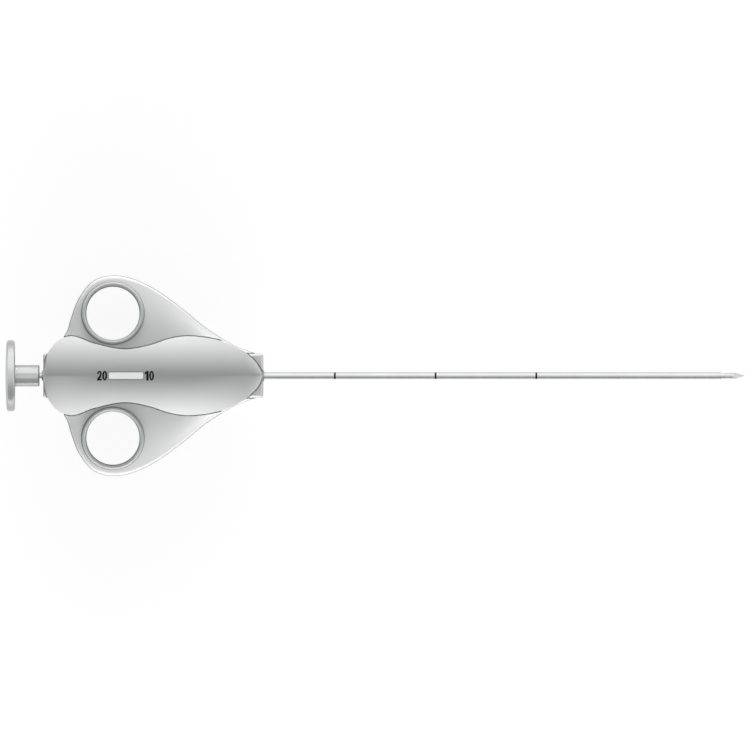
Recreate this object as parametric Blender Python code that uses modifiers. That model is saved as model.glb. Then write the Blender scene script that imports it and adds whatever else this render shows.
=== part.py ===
"""Semi-automatic biopsy needle: finger grip body, covers, spring carriage, sear, plunger, cannula and stylet.

The needle axis runs along +X and points at the tip, +Y is across the finger rings and +Z is up.
The origin is the middle of the flat pad under the lower cover, on which the needle lies.
Stations along the needle are counted from the rear face of the barrel, heights from the needle axis.
"""

import math

import bmesh
import bpy
from mathutils import Vector

MM = 0.001

# Fits
GAP = 0.3 * MM
RUNNING_FIT = 0.06 * MM
PIN_FIT = 0.08 * MM

# Place of the part in its own frame
AXIS_HEIGHT = 15.5 * MM
LAND_MIDDLE = 45.5 * MM

# Barrel: the trough moulded with the grip below, its cap above
BARREL_LENGTH = 91.3 * MM
BARREL_HALF_WIDTH = 9.2 * MM
BARREL_HALF_HEIGHT = 8.2 * MM
BARREL_WALL = 2.0 * MM
BARREL_CORNER = 1.0 * MM
REAR_WALL = 2.6 * MM
FRONT_WALL = 4.0 * MM

# Throw of the cannula and travel of the plunger
LONG_THROW = 20.0 * MM
SHORT_THROW = 10.0 * MM
RELEASE_TRAVEL = 0.8 * MM

# Finger plate: outline of one wing in millimetres, as station and distance from the axis behind its
# middle, and as distance back from the nose and distance from the axis ahead of it
WING_REAR_OUTLINE = [
    (6.6, 8.9), (7.9, 15.0), (10.0, 19.0), (11.4, 23.8), (14.6, 32.0), (20.7, 39.4), (29.0, 41.7),
    (38.1, 40.0),
]
WING_NOSE_OUTLINE = [(43.3, 35.0), (33.3, 27.7), (23.4, 19.7), (13.4, 13.5), (7.3, 10.8), (1.7, 8.9)]
WING_ROOT_START = 9.4 * MM
WING_ROOT_END = BARREL_LENGTH - 3.1 * MM
WING_EDGE_HALF_THICKNESS = 1.8 * MM
WING_ROOT_HALF_THICKNESS = 4.4 * MM
WING_STATIONS = 34
WING_EDGE_STEPS = (0.0, 0.14, 0.5, 1.0)
WING_INNER_STEPS = (0.2, 0.45, 0.7, 1.0)

# Finger rings
RING_STATION = 28.9 * MM
RING_SPREAD = 25.9 * MM
RING_BORE_RADIUS = 11.0 * MM
RING_LIP_WIDTH = 2.3 * MM
RING_LIP_PROUD = 0.6 * MM
RING_LIP_POWER = 3.0
RING_SEGMENTS = 40
RING_SECTION_POINTS = 10

# Covers: outline of one side, given as the finger plate's is
COVER_REAR_OUTLINE = [
    (0.0, 6.0), (2.5, 10.4), (6.2, 14.6), (12.0, 16.4), (20.7, 13.5), (33.0, 11.0), (43.1, 12.4),
]
COVER_NOSE_OUTLINE = [(38.3, 15.5), (30.3, 16.4), (18.4, 14.7), (8.5, 10.4), (3.5, 6.2), (0.3, 0.6)]
COVER_STATIONS = 34
HOLLOW_STATIONS = 18
COVER_WALL = 1.7 * MM
COVER_END_HEIGHT = 10.8 * MM
COVER_SECTION_STEPS = 8
HOLLOW_SECTION_STEPS = 5
UPPER_COVER_HEIGHT = 12.0 * MM
UPPER_COVER_RISE = 16.0 * MM
CROWN_RADIUS = 20.4 * MM
CROWN_WALL = 1.2 * MM
RIDGE_LENGTH = 34.0 * MM
RIDGE_SHARE = 0.5

# Lower cover: flat below, with full sides
LOWER_COVER_RISE = 12.0 * MM
UNDERSIDE_HALF_WIDTH = 6.0 * MM
SHOULDER_LOW = 5.4 * MM
SHOULDER_HIGH = 9.3 * MM
SHOULDER_NARROW = 9.5 * MM
SHOULDER_WIDE = 13.5 * MM
SHOULDER_POWER = 2.3

# Flat pad under the lower cover, on which the needle lies
LAND_LENGTH = 64.0 * MM
LAND_HALF_WIDTH = 6.5 * MM
LAND_RELIEF = 0.5 * MM
LAND_CORNER = 3.0 * MM

# Throw window in the upper cover, its lens and the flag that shows in it
WINDOW_LENGTH = 14.2 * MM
WINDOW_WIDTH = 2.6 * MM
WINDOW_LEDGE = 0.4 * MM
WINDOW_CORNER = 0.5 * MM
LENS_THICKNESS = 0.6 * MM
LENS_RECESS = 0.2 * MM
FLAG_LENGTH = 4.0 * MM
FLAG_WIDTH = 3.6 * MM
FLAG_THICKNESS = 0.8 * MM
FLAG_STALK_WIDTH = 1.8 * MM
FLAG_STALK_OFFSET = 3.6 * MM
FLAG_STALK_INSET = 0.5 * MM
FLAG_POCKET_DEPTH = 1.1 * MM
FLAG_SETBACK = 2.2 * MM

# Carriage that carries the cannula
CARRIAGE_WALL = 2.4 * MM
CHAMBER_RADIUS = 4.2 * MM
SPRING_ROOM = 0.5 * MM
BUFFER_THICKNESS = 1.7 * MM
BUFFER_RADIUS = 5.2 * MM
HUB_RADIUS = 3.0 * MM
HUB_LENGTH = 12.4 * MM
CARRIAGE_CORNER = 0.8 * MM

# Drive spring
SPRING_RADIUS = 4.1 * MM
SPRING_WIRE = 0.45 * MM
SPRING_TURNS = 11
SPRING_DEAD_TURNS = 1.25
SPRING_POINTS_PER_TURN = 11

# Sear under the carriage
SEAR_WIDTH = 3.0 * MM
SEAR_NOSE = 2.0 * MM
SEAR_ARM = 10.6 * MM
SEAR_LIFT = 1.8 * MM
SEAR_PIVOT_DROP = 10.4 * MM
SEAR_PIN_RADIUS = 0.8 * MM
SEAR_EYE_RADIUS = 1.7 * MM
SEAR_TAIL = 8.0 * MM
SEAR_ARM_THICKNESS = 1.6 * MM
EAR_THICKNESS = 1.7 * MM
EAR_RADIUS = 1.9 * MM
SEAR_SPRING_THICKNESS = 0.35 * MM
SEAR_SPRING_FOOT = 6.0 * MM
STAKE_RADIUS = 0.8 * MM

# Needle
EXPOSED_NEEDLE = 200.0 * MM
CANNULA_RADIUS = 1.385 * MM
CANNULA_WALL = 0.15 * MM
STYLET_RADIUS = 1.15 * MM
STYLET_LEAD = 6.6 * MM
CANNULA_BEVEL = 4.3 * MM
STYLET_FACET = 5.4 * MM
STYLET_FACET_DEPTH = 1.8 * MM
STYLET_GRIND = 3.7 * MM
NOTCH_START = 9.4 * MM
NOTCH_LENGTH = 17.0 * MM
NOTCH_DEPTH = 1.1 * MM
NOTCH_RAMP = 1.6 * MM
NEEDLE_SIDES = 28

# Collar crimped on the stylet, which pulls the carriage back
COLLAR_LENGTH = 4.0 * MM
COLLAR_RADIUS = 3.9 * MM
COLLAR_CONE = 1.5 * MM

# Bushes
BUSH_RADIUS = 2.6 * MM
REAR_BUSH_NOSE = 0.65 * MM
REAR_BUSH_NOSE_RADIUS = 2.2 * MM
FRONT_BUSH_LIP_RADIUS = 2.35 * MM
FRONT_BUSH_LIP = 0.4 * MM

# Plunger
PLUNGER_CLEARANCE = 1.6 * MM
BOSS_LENGTH = 10.1 * MM
BOSS_RADIUS = 4.5 * MM
BOSS_EDGE = 0.6 * MM
GROOVE_WIDTH = 1.9 * MM
GROOVE_DEPTH = 0.6 * MM
GROOVE_END = 1.0 * MM
DISC_RADIUS = 14.8 * MM
DISC_THICKNESS = 3.6 * MM
DISC_DOME = 0.5 * MM
DISC_EDGE = 1.2 * MM
STYLET_SOCKET = 8.0 * MM

TURNED_STEPS = 32
DISC_STEPS = 40
DISC_EDGE_STEPS = 3

# Stations and heights that follow from the sizes above
CAVITY_HALF_WIDTH = BARREL_HALF_WIDTH - BARREL_WALL
WING_ROOT_SIDE = CAVITY_HALF_WIDTH + BARREL_WALL / 2
WING_REACH = max(side for _, side in WING_REAR_OUTLINE) * MM
CAVITY_HALF_HEIGHT = BARREL_HALF_HEIGHT - BARREL_WALL
FRONT_WALL_STATION = BARREL_LENGTH - FRONT_WALL
BUFFER_FRONT = FRONT_WALL_STATION - GAP
BUFFER_REAR = BUFFER_FRONT - BUFFER_THICKNESS
CARRIAGE_FRONT = BUFFER_REAR - RELEASE_TRAVEL - GAP
CARRIAGE_REAR = REAR_WALL + 2 * LONG_THROW + SPRING_ROOM
CARRIAGE_HALF_WIDTH = CAVITY_HALF_WIDTH - GAP
CARRIAGE_HALF_HEIGHT = CAVITY_HALF_HEIGHT - GAP
CHAMBER_REAR = CARRIAGE_REAR + CARRIAGE_WALL
COLLAR_REAR = CHAMBER_REAR + GAP
COLLAR_FRONT = COLLAR_REAR + COLLAR_LENGTH
CHAMBER_FRONT = COLLAR_FRONT + LONG_THROW + GAP
HUB_FRONT = CARRIAGE_FRONT - GAP
HUB_REAR = HUB_FRONT - HUB_LENGTH
NOSE_STATION = COLLAR_FRONT - COLLAR_CONE - SEAR_NOSE / 2
PIVOT_STATION = NOSE_STATION + SEAR_ARM
SEAR_SWING = (SEAR_PIVOT_DROP - CAVITY_HALF_HEIGHT) * SEAR_LIFT / SEAR_ARM
TIP_STATION = BARREL_LENGTH + EXPOSED_NEEDLE
CANNULA_TIP = TIP_STATION - STYLET_LEAD
BOSS_FRONT = -PLUNGER_CLEARANCE
DISC_FRONT = BOSS_FRONT - BOSS_LENGTH
DISC_REAR = DISC_FRONT - DISC_THICKNESS
FLAG_REAR = CHAMBER_REAR + FLAG_SETBACK
FLAG_BOTTOM = BARREL_HALF_HEIGHT + GAP
FLAG_CHANNEL_TOP = FLAG_BOTTOM + FLAG_THICKNESS + GAP
FLAG_SLIT_LOW = FLAG_STALK_OFFSET - FLAG_STALK_WIDTH / 2 - GAP
FLAG_SLIT_HIGH = FLAG_STALK_OFFSET + FLAG_STALK_WIDTH / 2 + GAP
LOWER_COVER_DEPTH = AXIS_HEIGHT - LAND_RELIEF
WINDOW_FRONT = FLAG_REAR - SHORT_THROW + FLAG_LENGTH - GAP
WINDOW_REAR = WINDOW_FRONT - WINDOW_LENGTH

parts = bpy.data.collections.new("biopsy_needle")
cutters = bpy.data.collections.new("cutters")


def start_empty_scene():
    for old in list(bpy.data.objects):
        bpy.data.objects.remove(old, do_unlink=True)
    bpy.context.scene.collection.children.link(parts)
    bpy.context.scene.collection.children.link(cutters)


def world(station, side=0.0, height=0.0):
    """The point of the part's frame at a station, a distance from the axis and a height over it."""
    return Vector((station - LAND_MIDDLE, side, AXIS_HEIGHT + height))


def material(name, colour, roughness, metallic=0.0, alpha=1.0):
    made = bpy.data.materials.new(name)
    made.use_nodes = True
    shader = made.node_tree.nodes["Principled BSDF"]
    shader.inputs["Base Color"].default_value = (*colour, 1.0)
    shader.inputs["Roughness"].default_value = roughness
    shader.inputs["Metallic"].default_value = metallic
    shader.inputs["Alpha"].default_value = alpha
    return made


def pivot(name, place, parent=None):
    """An empty on a joint's axis, which carries the pieces that move with it."""
    empty = bpy.data.objects.new(name, None)
    parts.objects.link(empty)
    empty.location = place
    if parent:
        empty.parent = parent
        empty.location = place - parent_place(parent)
    return empty


def parent_place(parent):
    """World place of an unturned empty, summed up its chain."""
    place = parent.location.copy()
    while parent.parent:
        parent = parent.parent
        place += parent.location
    return place


def add(obj, finish=None, carrier=None):
    """Keeps an object as a piece of the part, with its material and the empty that carries it."""
    for old in list(obj.users_collection):
        old.objects.unlink(obj)
    parts.objects.link(obj)
    if finish:
        obj.data.materials.clear()
        obj.data.materials.append(finish)
    if carrier:
        obj.parent = carrier
        obj.location -= parent_place(carrier)
    return obj


def helper(obj):
    """Keeps an object as a cutter or as a shape that a union takes in."""
    for old in list(obj.users_collection):
        old.objects.unlink(obj)
    cutters.objects.link(obj)
    obj.hide_render = True
    obj.display_type = "WIRE"
    return obj


def from_bmesh(name, shape):
    mesh = bpy.data.meshes.new(name)
    shape.to_mesh(mesh)
    shape.free()
    obj = bpy.data.objects.new(name, mesh)
    bpy.context.scene.collection.objects.link(obj)
    return obj


def smooth(obj, degrees=40.0):
    obj.data.shade_smooth()
    obj.data.set_sharp_from_angle(angle=math.radians(degrees))
    return obj


def box(name, low, high, edge=0.0, segments=2):
    """A block between two corners given as station, side and height, with its edges rounded by edge."""
    shape = bmesh.new()
    bmesh.ops.create_cube(shape, size=1.0)
    size = Vector(high) - Vector(low)
    bmesh.ops.scale(shape, vec=size, verts=shape.verts)
    obj = from_bmesh(name, shape)
    obj.location = world(*((Vector(high) + Vector(low)) / 2))
    if edge:
        rounding = obj.modifiers.new("edges", "BEVEL")
        rounding.width = edge
        rounding.segments = segments
        rounding.limit_method = "ANGLE"
    return obj


def turned(name, profile, station=0.0, steps=TURNED_STEPS):
    """A shape turned about the needle axis. The profile holds (station, radius), front to rear outside."""
    shape = bmesh.new()
    points = [shape.verts.new((radius, 0.0, along)) for along, radius in profile]
    for first, second in zip(points, points[1:]):
        shape.edges.new((first, second))
    if profile[0][1] > 0.0:
        shape.edges.new((points[-1], points[0]))
    obj = from_bmesh(name, shape)
    screw = obj.modifiers.new("turn", "SCREW")
    screw.steps = steps
    screw.render_steps = steps
    screw.use_merge_vertices = True
    screw.merge_threshold = 0.000005
    screw.use_smooth_shade = False
    obj.rotation_euler = (0.0, math.radians(90.0), 0.0)
    obj.location = world(station)
    return obj


def rod(name, rear, front, radius, steps=TURNED_STEPS):
    """A plain round bar on the needle axis."""
    return turned(name, [(front, 0.0), (front, radius), (rear, radius), (rear, 0.0)], steps=steps)


def cross_pin(name, station, height, half_length, radius, steps=24):
    """A round bar across the needle, along Y."""
    shape = bmesh.new()
    bmesh.ops.create_cone(
        shape, cap_ends=True, segments=steps, radius1=radius, radius2=radius, depth=2 * half_length
    )
    obj = from_bmesh(name, shape)
    obj.rotation_euler = (math.radians(90.0), 0.0, 0.0)
    obj.location = world(station, 0.0, height)
    return obj


def upright(name, station, side, low, high, radius, steps=32):
    """A round bar along Z."""
    shape = bmesh.new()
    bmesh.ops.create_cone(
        shape, cap_ends=True, segments=steps, radius1=radius, radius2=radius, depth=high - low
    )
    obj = from_bmesh(name, shape)
    obj.location = world(station, side, (high + low) / 2)
    return obj


def rounded_slot(name, rear, front, half_width, low, high, corner, segments=4):
    """An upright prism over a rectangle with rounded corners."""
    obj = box(name, (rear, -half_width, low), (front, half_width, high))
    shape = bmesh.new()
    shape.from_mesh(obj.data)
    corners = [edge for edge in shape.edges if abs(edge.verts[0].co.z - edge.verts[1].co.z) > GAP]
    bmesh.ops.bevel(shape, geom=corners, offset=corner, segments=segments, affect="EDGES", profile=0.5)
    shape.to_mesh(obj.data)
    shape.free()
    return obj


def boolean(target, other, operation="DIFFERENCE"):
    cut = target.modifiers.new(other.name, "BOOLEAN")
    cut.operation = operation
    cut.solver = "EXACT"
    cut.object = other
    return target


def cut(target, *others):
    for other in others:
        boolean(target, helper(other))
    return target


def join(target, *others):
    for other in others:
        boolean(target, helper(other), "UNION")
    return target


def blend(low, high, value):
    """0 below low, 1 above high, and a smooth step between."""
    share = min(max((value - low) / (high - low), 0.0), 1.0)
    return share * share * (3.0 - 2.0 * share)


def path(rear, nose, count):
    """Evenly spaced points on a smooth curve through points in millimetres, the nose ones counted back."""
    knots = [Vector((station * MM, side * MM, 0.0)) for station, side in rear]
    knots += [Vector((BARREL_LENGTH - back * MM, side * MM, 0.0)) for back, side in nose]
    fine = []
    for i in range(len(knots) - 1):
        before = knots[max(i - 1, 0)]
        after = knots[min(i + 2, len(knots) - 1)]
        start, end = knots[i], knots[i + 1]
        reach = (end - start).length
        leave = (end - before).normalized() * reach
        arrive = (after - start).normalized() * reach
        for step in range(12):
            t = step / 12
            fine.append(
                start * (2 * t**3 - 3 * t**2 + 1)
                + leave * (t**3 - 2 * t**2 + t)
                + end * (3 * t**2 - 2 * t**3)
                + arrive * (t**3 - t**2)
            )
    fine.append(knots[-1])
    lengths = [0.0]
    for first, second in zip(fine, fine[1:]):
        lengths.append(lengths[-1] + (second - first).length)
    found = []
    index = 0
    for i in range(count):
        wanted = lengths[-1] * i / (count - 1)
        while index < len(fine) - 2 and lengths[index + 1] < wanted:
            index += 1
        share = (wanted - lengths[index]) / (lengths[index + 1] - lengths[index])
        found.append(fine[index].lerp(fine[index + 1], share))
    return found


def loft(name, sections):
    """A closed body through sections of equal point count, each a closed loop, with both ends capped."""
    shape = bmesh.new()
    rings = [[shape.verts.new(world(*point)) for point in section] for section in sections]
    for first, second in zip(rings, rings[1:]):
        for i in range(len(first)):
            j = (i + 1) % len(first)
            shape.faces.new((first[i], first[j], second[j], second[i]))
    shape.faces.new(list(reversed(rings[0])))
    shape.faces.new(rings[-1])
    bmesh.ops.recalc_face_normals(shape, faces=shape.faces)
    return from_bmesh(name, shape)


def wing_lift(share):
    """Half the finger plate's thickness at a share of the way in from its edge."""
    thinned = (WING_ROOT_HALF_THICKNESS - WING_EDGE_HALF_THICKNESS) * (1.0 - share) ** 2
    return WING_ROOT_HALF_THICKNESS - thinned


def wing(name, hand, spare=0.0):
    """One side of the finger plate, thick at the barrel and round at its edge, grown by spare all over."""
    outline = path(WING_REAR_OUTLINE, WING_NOSE_OUTLINE, WING_STATIONS)
    sections = []
    for i, edge in enumerate(outline):
        share = i / (len(outline) - 1)
        root = Vector((WING_ROOT_START + (WING_ROOT_END - WING_ROOT_START) * share, WING_ROOT_SIDE, 0.0))
        outward = (edge - root).normalized()
        rim = edge + outward * spare
        span = (rim - root).length
        rounding = min(WING_EDGE_HALF_THICKNESS + spare, span / 2)
        top = []
        for step in WING_EDGE_STEPS:
            inset = rounding * step
            lift = math.sqrt(rounding**2 - (rounding - inset) ** 2)
            top.append((rim - outward * inset, lift * (WING_EDGE_HALF_THICKNESS + spare) / rounding))
        for step in WING_INNER_STEPS:
            inset = rounding + (span - rounding) * step
            top.append((rim - outward * inset, wing_lift(step) + spare))
        loop = [(place.x, hand * place.y, lift) for place, lift in reversed(top)]
        loop += [(place.x, hand * place.y, -lift) for place, lift in top[1:]]
        sections.append(loop)
    return loft(name, sections)


def cover_height(station, full, rise):
    """Height of a cover's middle, lower at both ends."""
    rear = blend(-rise / 3, rise, station)
    front = blend(-rise / 3, rise, BARREL_LENGTH - station)
    return COVER_END_HEIGHT + (full - COVER_END_HEIGHT) * rear * front


def crowned_section(station, half_width, inset, steps):
    """Half of the upper cover's section, evenly crowned, and ridged at both ends on its outer face."""
    crest = cover_height(station, UPPER_COVER_HEIGHT, UPPER_COVER_RISE) - inset
    width = max(half_width - inset, 0.2 * MM)
    fall = max(width**2 / (2.0 * CROWN_RADIUS), crest + inset - SHOULDER_HIGH)
    ridge = 0.0
    if inset == 0.0:
        ridge = RIDGE_SHARE * (1.0 - blend(0.0, RIDGE_LENGTH, min(station, BARREL_LENGTH - station)))
    half = []
    for i in range(steps + 1):
        share = i / steps
        half.append((width * share, crest - fall * ((1.0 - ridge) * share**2 + ridge * share)))
    return half


def deep_section(station, half_width, inset, steps):
    """Half of the lower cover's section, flat below and full at the sides, as distances from the axis."""
    crest = cover_height(station, LOWER_COVER_DEPTH, LOWER_COVER_RISE) - inset
    width = max(half_width - inset, 0.2 * MM)
    lowered = (SHOULDER_HIGH - SHOULDER_LOW) * blend(SHOULDER_NARROW, SHOULDER_WIDE, half_width)
    shoulder = min(SHOULDER_HIGH - lowered, crest) - inset
    level = min(UNDERSIDE_HALF_WIDTH, width * 0.6)
    half = []
    for i in range(steps + 1):
        share = math.sin(math.pi / 2 * i / steps)
        drop = 1.0 - (1.0 - share**SHOULDER_POWER) ** (1.0 / SHOULDER_POWER)
        half.append((level + (width - level) * share, crest - (crest - shoulder) * drop))
    return half


def cover(name, section, upward, inset=0.0):
    """The outer form of a cover, down to the needle axis, drawn in by inset."""
    sections = []
    steps = HOLLOW_SECTION_STEPS if inset else COVER_SECTION_STEPS
    stations = HOLLOW_STATIONS if inset else COVER_STATIONS
    for edge in path(COVER_REAR_OUTLINE, COVER_NOSE_OUTLINE, stations):
        station = min(max(edge.x, inset), BARREL_LENGTH - inset)
        half = section(edge.x, edge.y, inset, steps)
        rest = half[1:] if half[0][0] == 0.0 else half
        loop = [(station, side, upward * height) for side, height in half]
        loop.append((station, half[-1][0], 0.0))
        loop.append((station, -half[-1][0], 0.0))
        loop += [(station, -side, upward * height) for side, height in reversed(rest)]
        sections.append(loop)
    return loft(name, sections)


def barrel_block(name, spare=0.0):
    """The barrel's outer block, grown by spare."""
    return box(
        name,
        (-spare, -BARREL_HALF_WIDTH - spare, -BARREL_HALF_HEIGHT - spare),
        (BARREL_LENGTH + spare, BARREL_HALF_WIDTH + spare, BARREL_HALF_HEIGHT + spare),
        BARREL_CORNER,
        3,
    )


def barrel_room(name):
    """The room inside the barrel in which the carriage and its spring run."""
    return box(
        name,
        (REAR_WALL, -CAVITY_HALF_WIDTH, -CAVITY_HALF_HEIGHT),
        (FRONT_WALL_STATION, CAVITY_HALF_WIDTH, CAVITY_HALF_HEIGHT),
    )


def bush_seats(name):
    """Stepped seats for both bushes, cut in the end walls of the barrel's two halves."""
    rear_seat = turned(
        name + "_rear",
        [
            (REAR_WALL + GAP, 0.0),
            (REAR_WALL + GAP, BUSH_RADIUS + RUNNING_FIT),
            (-GAP, BUSH_RADIUS + RUNNING_FIT),
            (-GAP, 0.0),
        ],
    )
    front_seat = turned(
        name + "_front",
        [
            (BARREL_LENGTH + GAP, 0.0),
            (BARREL_LENGTH + GAP, BUSH_RADIUS + RUNNING_FIT),
            (FRONT_WALL_STATION - GAP, BUSH_RADIUS + RUNNING_FIT),
            (FRONT_WALL_STATION - GAP, 0.0),
        ],
    )
    return rear_seat, front_seat


def finger_grip_body(finish):
    """Trough of the barrel and both wings of the finger plate, moulded in one with the rings' lips."""
    body = barrel_block("finger_grip_body")
    past = 2 * BARREL_HALF_HEIGHT
    cut(
        body,
        box("above_parting", (-past, -past, -GAP / 2), (BARREL_LENGTH + past, past, past)),
        barrel_room("trough_room"),
        *bush_seats("trough_seat"),
    )
    add_sear_mounting(body)
    for hand, side in ((1.0, "left"), (-1.0, "right")):
        plate = wing("wing_" + side, hand)
        middle = RING_BORE_RADIUS + RING_LIP_WIDTH / 2
        cut(
            plate,
            upright("hole_" + side, RING_STATION, hand * RING_SPREAD, -past, past, middle, RING_SEGMENTS),
            box(
                "cap_room_" + side,
                (-past, -BARREL_HALF_WIDTH - GAP, -GAP / 2),
                (BARREL_LENGTH + past, BARREL_HALF_WIDTH + GAP, past),
            ),
        )
        join(body, plate, ring_lip("lip_" + side, hand))
    return add(smooth(body, 35.0), finish)


def squared(value):
    """A sine or cosine drawn out towards the corners of its square."""
    return math.copysign(abs(value) ** (2.0 / RING_LIP_POWER), value)


def ring_lip(name, hand):
    """The rolled lip round a finger hole, equally proud of the plate all the way round."""
    shape = bmesh.new()
    half_width = RING_LIP_WIDTH / 2
    middle = RING_BORE_RADIUS + half_width
    sections = []
    for i in range(RING_SEGMENTS):
        turn = 2.0 * math.pi * i / RING_SEGMENTS
        side = RING_SPREAD + middle * math.sin(turn)
        half_height = wing_lift((WING_REACH - side) / (WING_REACH - WING_ROOT_SIDE)) + RING_LIP_PROUD
        section = []
        for j in range(RING_SECTION_POINTS):
            angle = 2.0 * math.pi * (j + 0.5) / RING_SECTION_POINTS
            radius = middle + half_width * squared(math.cos(angle))
            place = world(
                RING_STATION + radius * math.cos(turn),
                hand * (RING_SPREAD + radius * math.sin(turn)),
                half_height * squared(math.sin(angle)),
            )
            section.append(shape.verts.new(place))
        sections.append(section)
    for first, second in zip(sections, sections[1:] + sections[:1]):
        for j in range(RING_SECTION_POINTS):
            k = (j + 1) % RING_SECTION_POINTS
            shape.faces.new((first[j], second[j], second[k], first[k]))
    bmesh.ops.recalc_face_normals(shape, faces=shape.faces)
    return from_bmesh(name, shape)


def add_sear_mounting(body):
    """Slot for the sear in the trough's floor, the two ears of its pin and the stake of its spring."""
    floor = -BARREL_HALF_HEIGHT
    slot_half = SEAR_WIDTH / 2 + GAP
    tail_end = PIVOT_STATION + SEAR_TAIL
    cut(
        body,
        box(
            "sear_slot",
            (NOSE_STATION - SEAR_NOSE, -slot_half, floor - GAP),
            (PIVOT_STATION + SEAR_EYE_RADIUS + GAP, slot_half, -CAVITY_HALF_HEIGHT + GAP),
        ),
    )
    for hand, side in ((1.0, "left"), (-1.0, "right")):
        inner = hand * slot_half
        outer = hand * (slot_half + EAR_THICKNESS)
        low, high = min(inner, outer), max(inner, outer)
        ear = box(
            "ear_" + side,
            (PIVOT_STATION - EAR_RADIUS, low, -SEAR_PIVOT_DROP),
            (PIVOT_STATION + EAR_RADIUS, high, floor + BARREL_WALL / 2),
        )
        eye = cross_pin(
            "ear_eye_" + side, PIVOT_STATION, -SEAR_PIVOT_DROP, (high - low) / 2, EAR_RADIUS
        )
        eye.location.y = (low + high) / 2
        join(body, ear, eye)
    reach = slot_half + EAR_THICKNESS + GAP
    cut(
        body,
        cross_pin("pin_bore", PIVOT_STATION, -SEAR_PIVOT_DROP, reach, SEAR_PIN_RADIUS + RUNNING_FIT),
    )
    stake = upright(
        "spring_stake",
        tail_end + SEAR_SPRING_FOOT / 2,
        0.0,
        floor - GAP - SEAR_SPRING_THICKNESS - GAP,
        floor + BARREL_WALL / 2,
        STAKE_RADIUS,
        20,
    )
    join(body, stake)


def barrel_cap(finish):
    """Upper half of the barrel, with the slit through which the flag's stalk runs."""
    cap = barrel_block("barrel_cap")
    past = 2 * BARREL_HALF_HEIGHT
    slit_rear = FLAG_REAR - 2 * LONG_THROW
    slit_front = FLAG_REAR + FLAG_LENGTH + RELEASE_TRAVEL
    cut(
        cap,
        box("below_parting", (-past, -past, -past), (BARREL_LENGTH + past, past, GAP / 2)),
        barrel_room("cap_hollow"),
        box(
            "flag_slit",
            (slit_rear, FLAG_SLIT_LOW, CAVITY_HALF_HEIGHT - GAP),
            (slit_front, FLAG_SLIT_HIGH, past),
        ),
        *bush_seats("cap_seat"),
    )
    return add(smooth(cap, 35.0), finish)


def window_room(name, grow, low, high):
    """The rounded prism of the throw window, grown outward."""
    return rounded_slot(
        name,
        WINDOW_REAR - grow,
        WINDOW_FRONT + grow,
        WINDOW_WIDTH / 2 + grow,
        low,
        high,
        WINDOW_CORNER + grow,
    )


def upper_cover(finish):
    """Hourglass shell over the barrel, ridged at both ends, with the throw window."""
    shell = cover("upper_cover", crowned_section, 1.0)
    lens_seat = UPPER_COVER_HEIGHT - LENS_RECESS - LENS_THICKNESS - GAP
    cut(
        shell,
        cover("upper_hollow", crowned_section, 1.0, CROWN_WALL),
        barrel_block("upper_barrel_room", GAP),
        wing("upper_wing_left_room", 1.0, GAP),
        wing("upper_wing_right_room", -1.0, GAP),
        below_plate("upper_underside", 1.0),
        box(
            "flag_channel",
            (FLAG_REAR - 2 * LONG_THROW - GAP, -FLAG_WIDTH / 2 - GAP, BARREL_HALF_HEIGHT),
            (FLAG_REAR + FLAG_LENGTH + RELEASE_TRAVEL + GAP, FLAG_SLIT_HIGH, FLAG_CHANNEL_TOP),
        ),
        window_room("window_bore", 0.0, BARREL_HALF_HEIGHT, AXIS_HEIGHT),
        window_room("window_seat", WINDOW_LEDGE, lens_seat, AXIS_HEIGHT),
    )
    return add(smooth(shell, 30.0), finish)


def below_plate(name, upward):
    """Takes away what of a cover lies past the plate's own height, beside the barrel."""
    reach = BARREL_LENGTH + BARREL_HALF_WIDTH
    level = upward * WING_EDGE_HALF_THICKNESS
    low, high = (-reach, level) if upward > 0 else (level, reach)
    return box(name, (-reach, -reach, low), (2 * reach, reach, high))


def lower_cover(finish):
    """Deep shell under the barrel, with the flat pad on which the needle lies."""
    shell = cover("lower_cover", deep_section, -1.0)
    half_length = LAND_LENGTH / 2
    pad = rounded_slot(
        "rest_pad",
        LAND_MIDDLE - half_length,
        LAND_MIDDLE + half_length,
        LAND_HALF_WIDTH,
        -AXIS_HEIGHT,
        -LOWER_COVER_DEPTH + COVER_WALL / 2,
        LAND_CORNER,
        6,
    )
    join(shell, pad)
    cut(
        shell,
        cover("lower_hollow", deep_section, -1.0, COVER_WALL),
        barrel_block("lower_barrel_room", GAP),
        wing("lower_wing_left_room", 1.0, GAP),
        wing("lower_wing_right_room", -1.0, GAP),
        below_plate("lower_underside", -1.0),
    )
    return add(smooth(shell, 30.0), finish)


def window_lens(finish):
    """Clear plate let into the window."""
    top = UPPER_COVER_HEIGHT - LENS_RECESS
    lens = window_room("window_lens", WINDOW_LEDGE - GAP, top - LENS_THICKNESS, top)
    return add(smooth(lens), finish)


def rear_bush(finish):
    """Bush of the stylet in the rear wall, with a nose that meets the plunger's boss."""
    bore = STYLET_RADIUS + PIN_FIT
    front = REAR_WALL
    bush = turned(
        "rear_bush",
        [
            (front, bore),
            (front, BUSH_RADIUS),
            (0.0, BUSH_RADIUS),
            (0.0, REAR_BUSH_NOSE_RADIUS),
            (-REAR_BUSH_NOSE, REAR_BUSH_NOSE_RADIUS * 0.8),
            (-REAR_BUSH_NOSE, bore),
        ],
    )
    return add(smooth(bush), finish)


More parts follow.
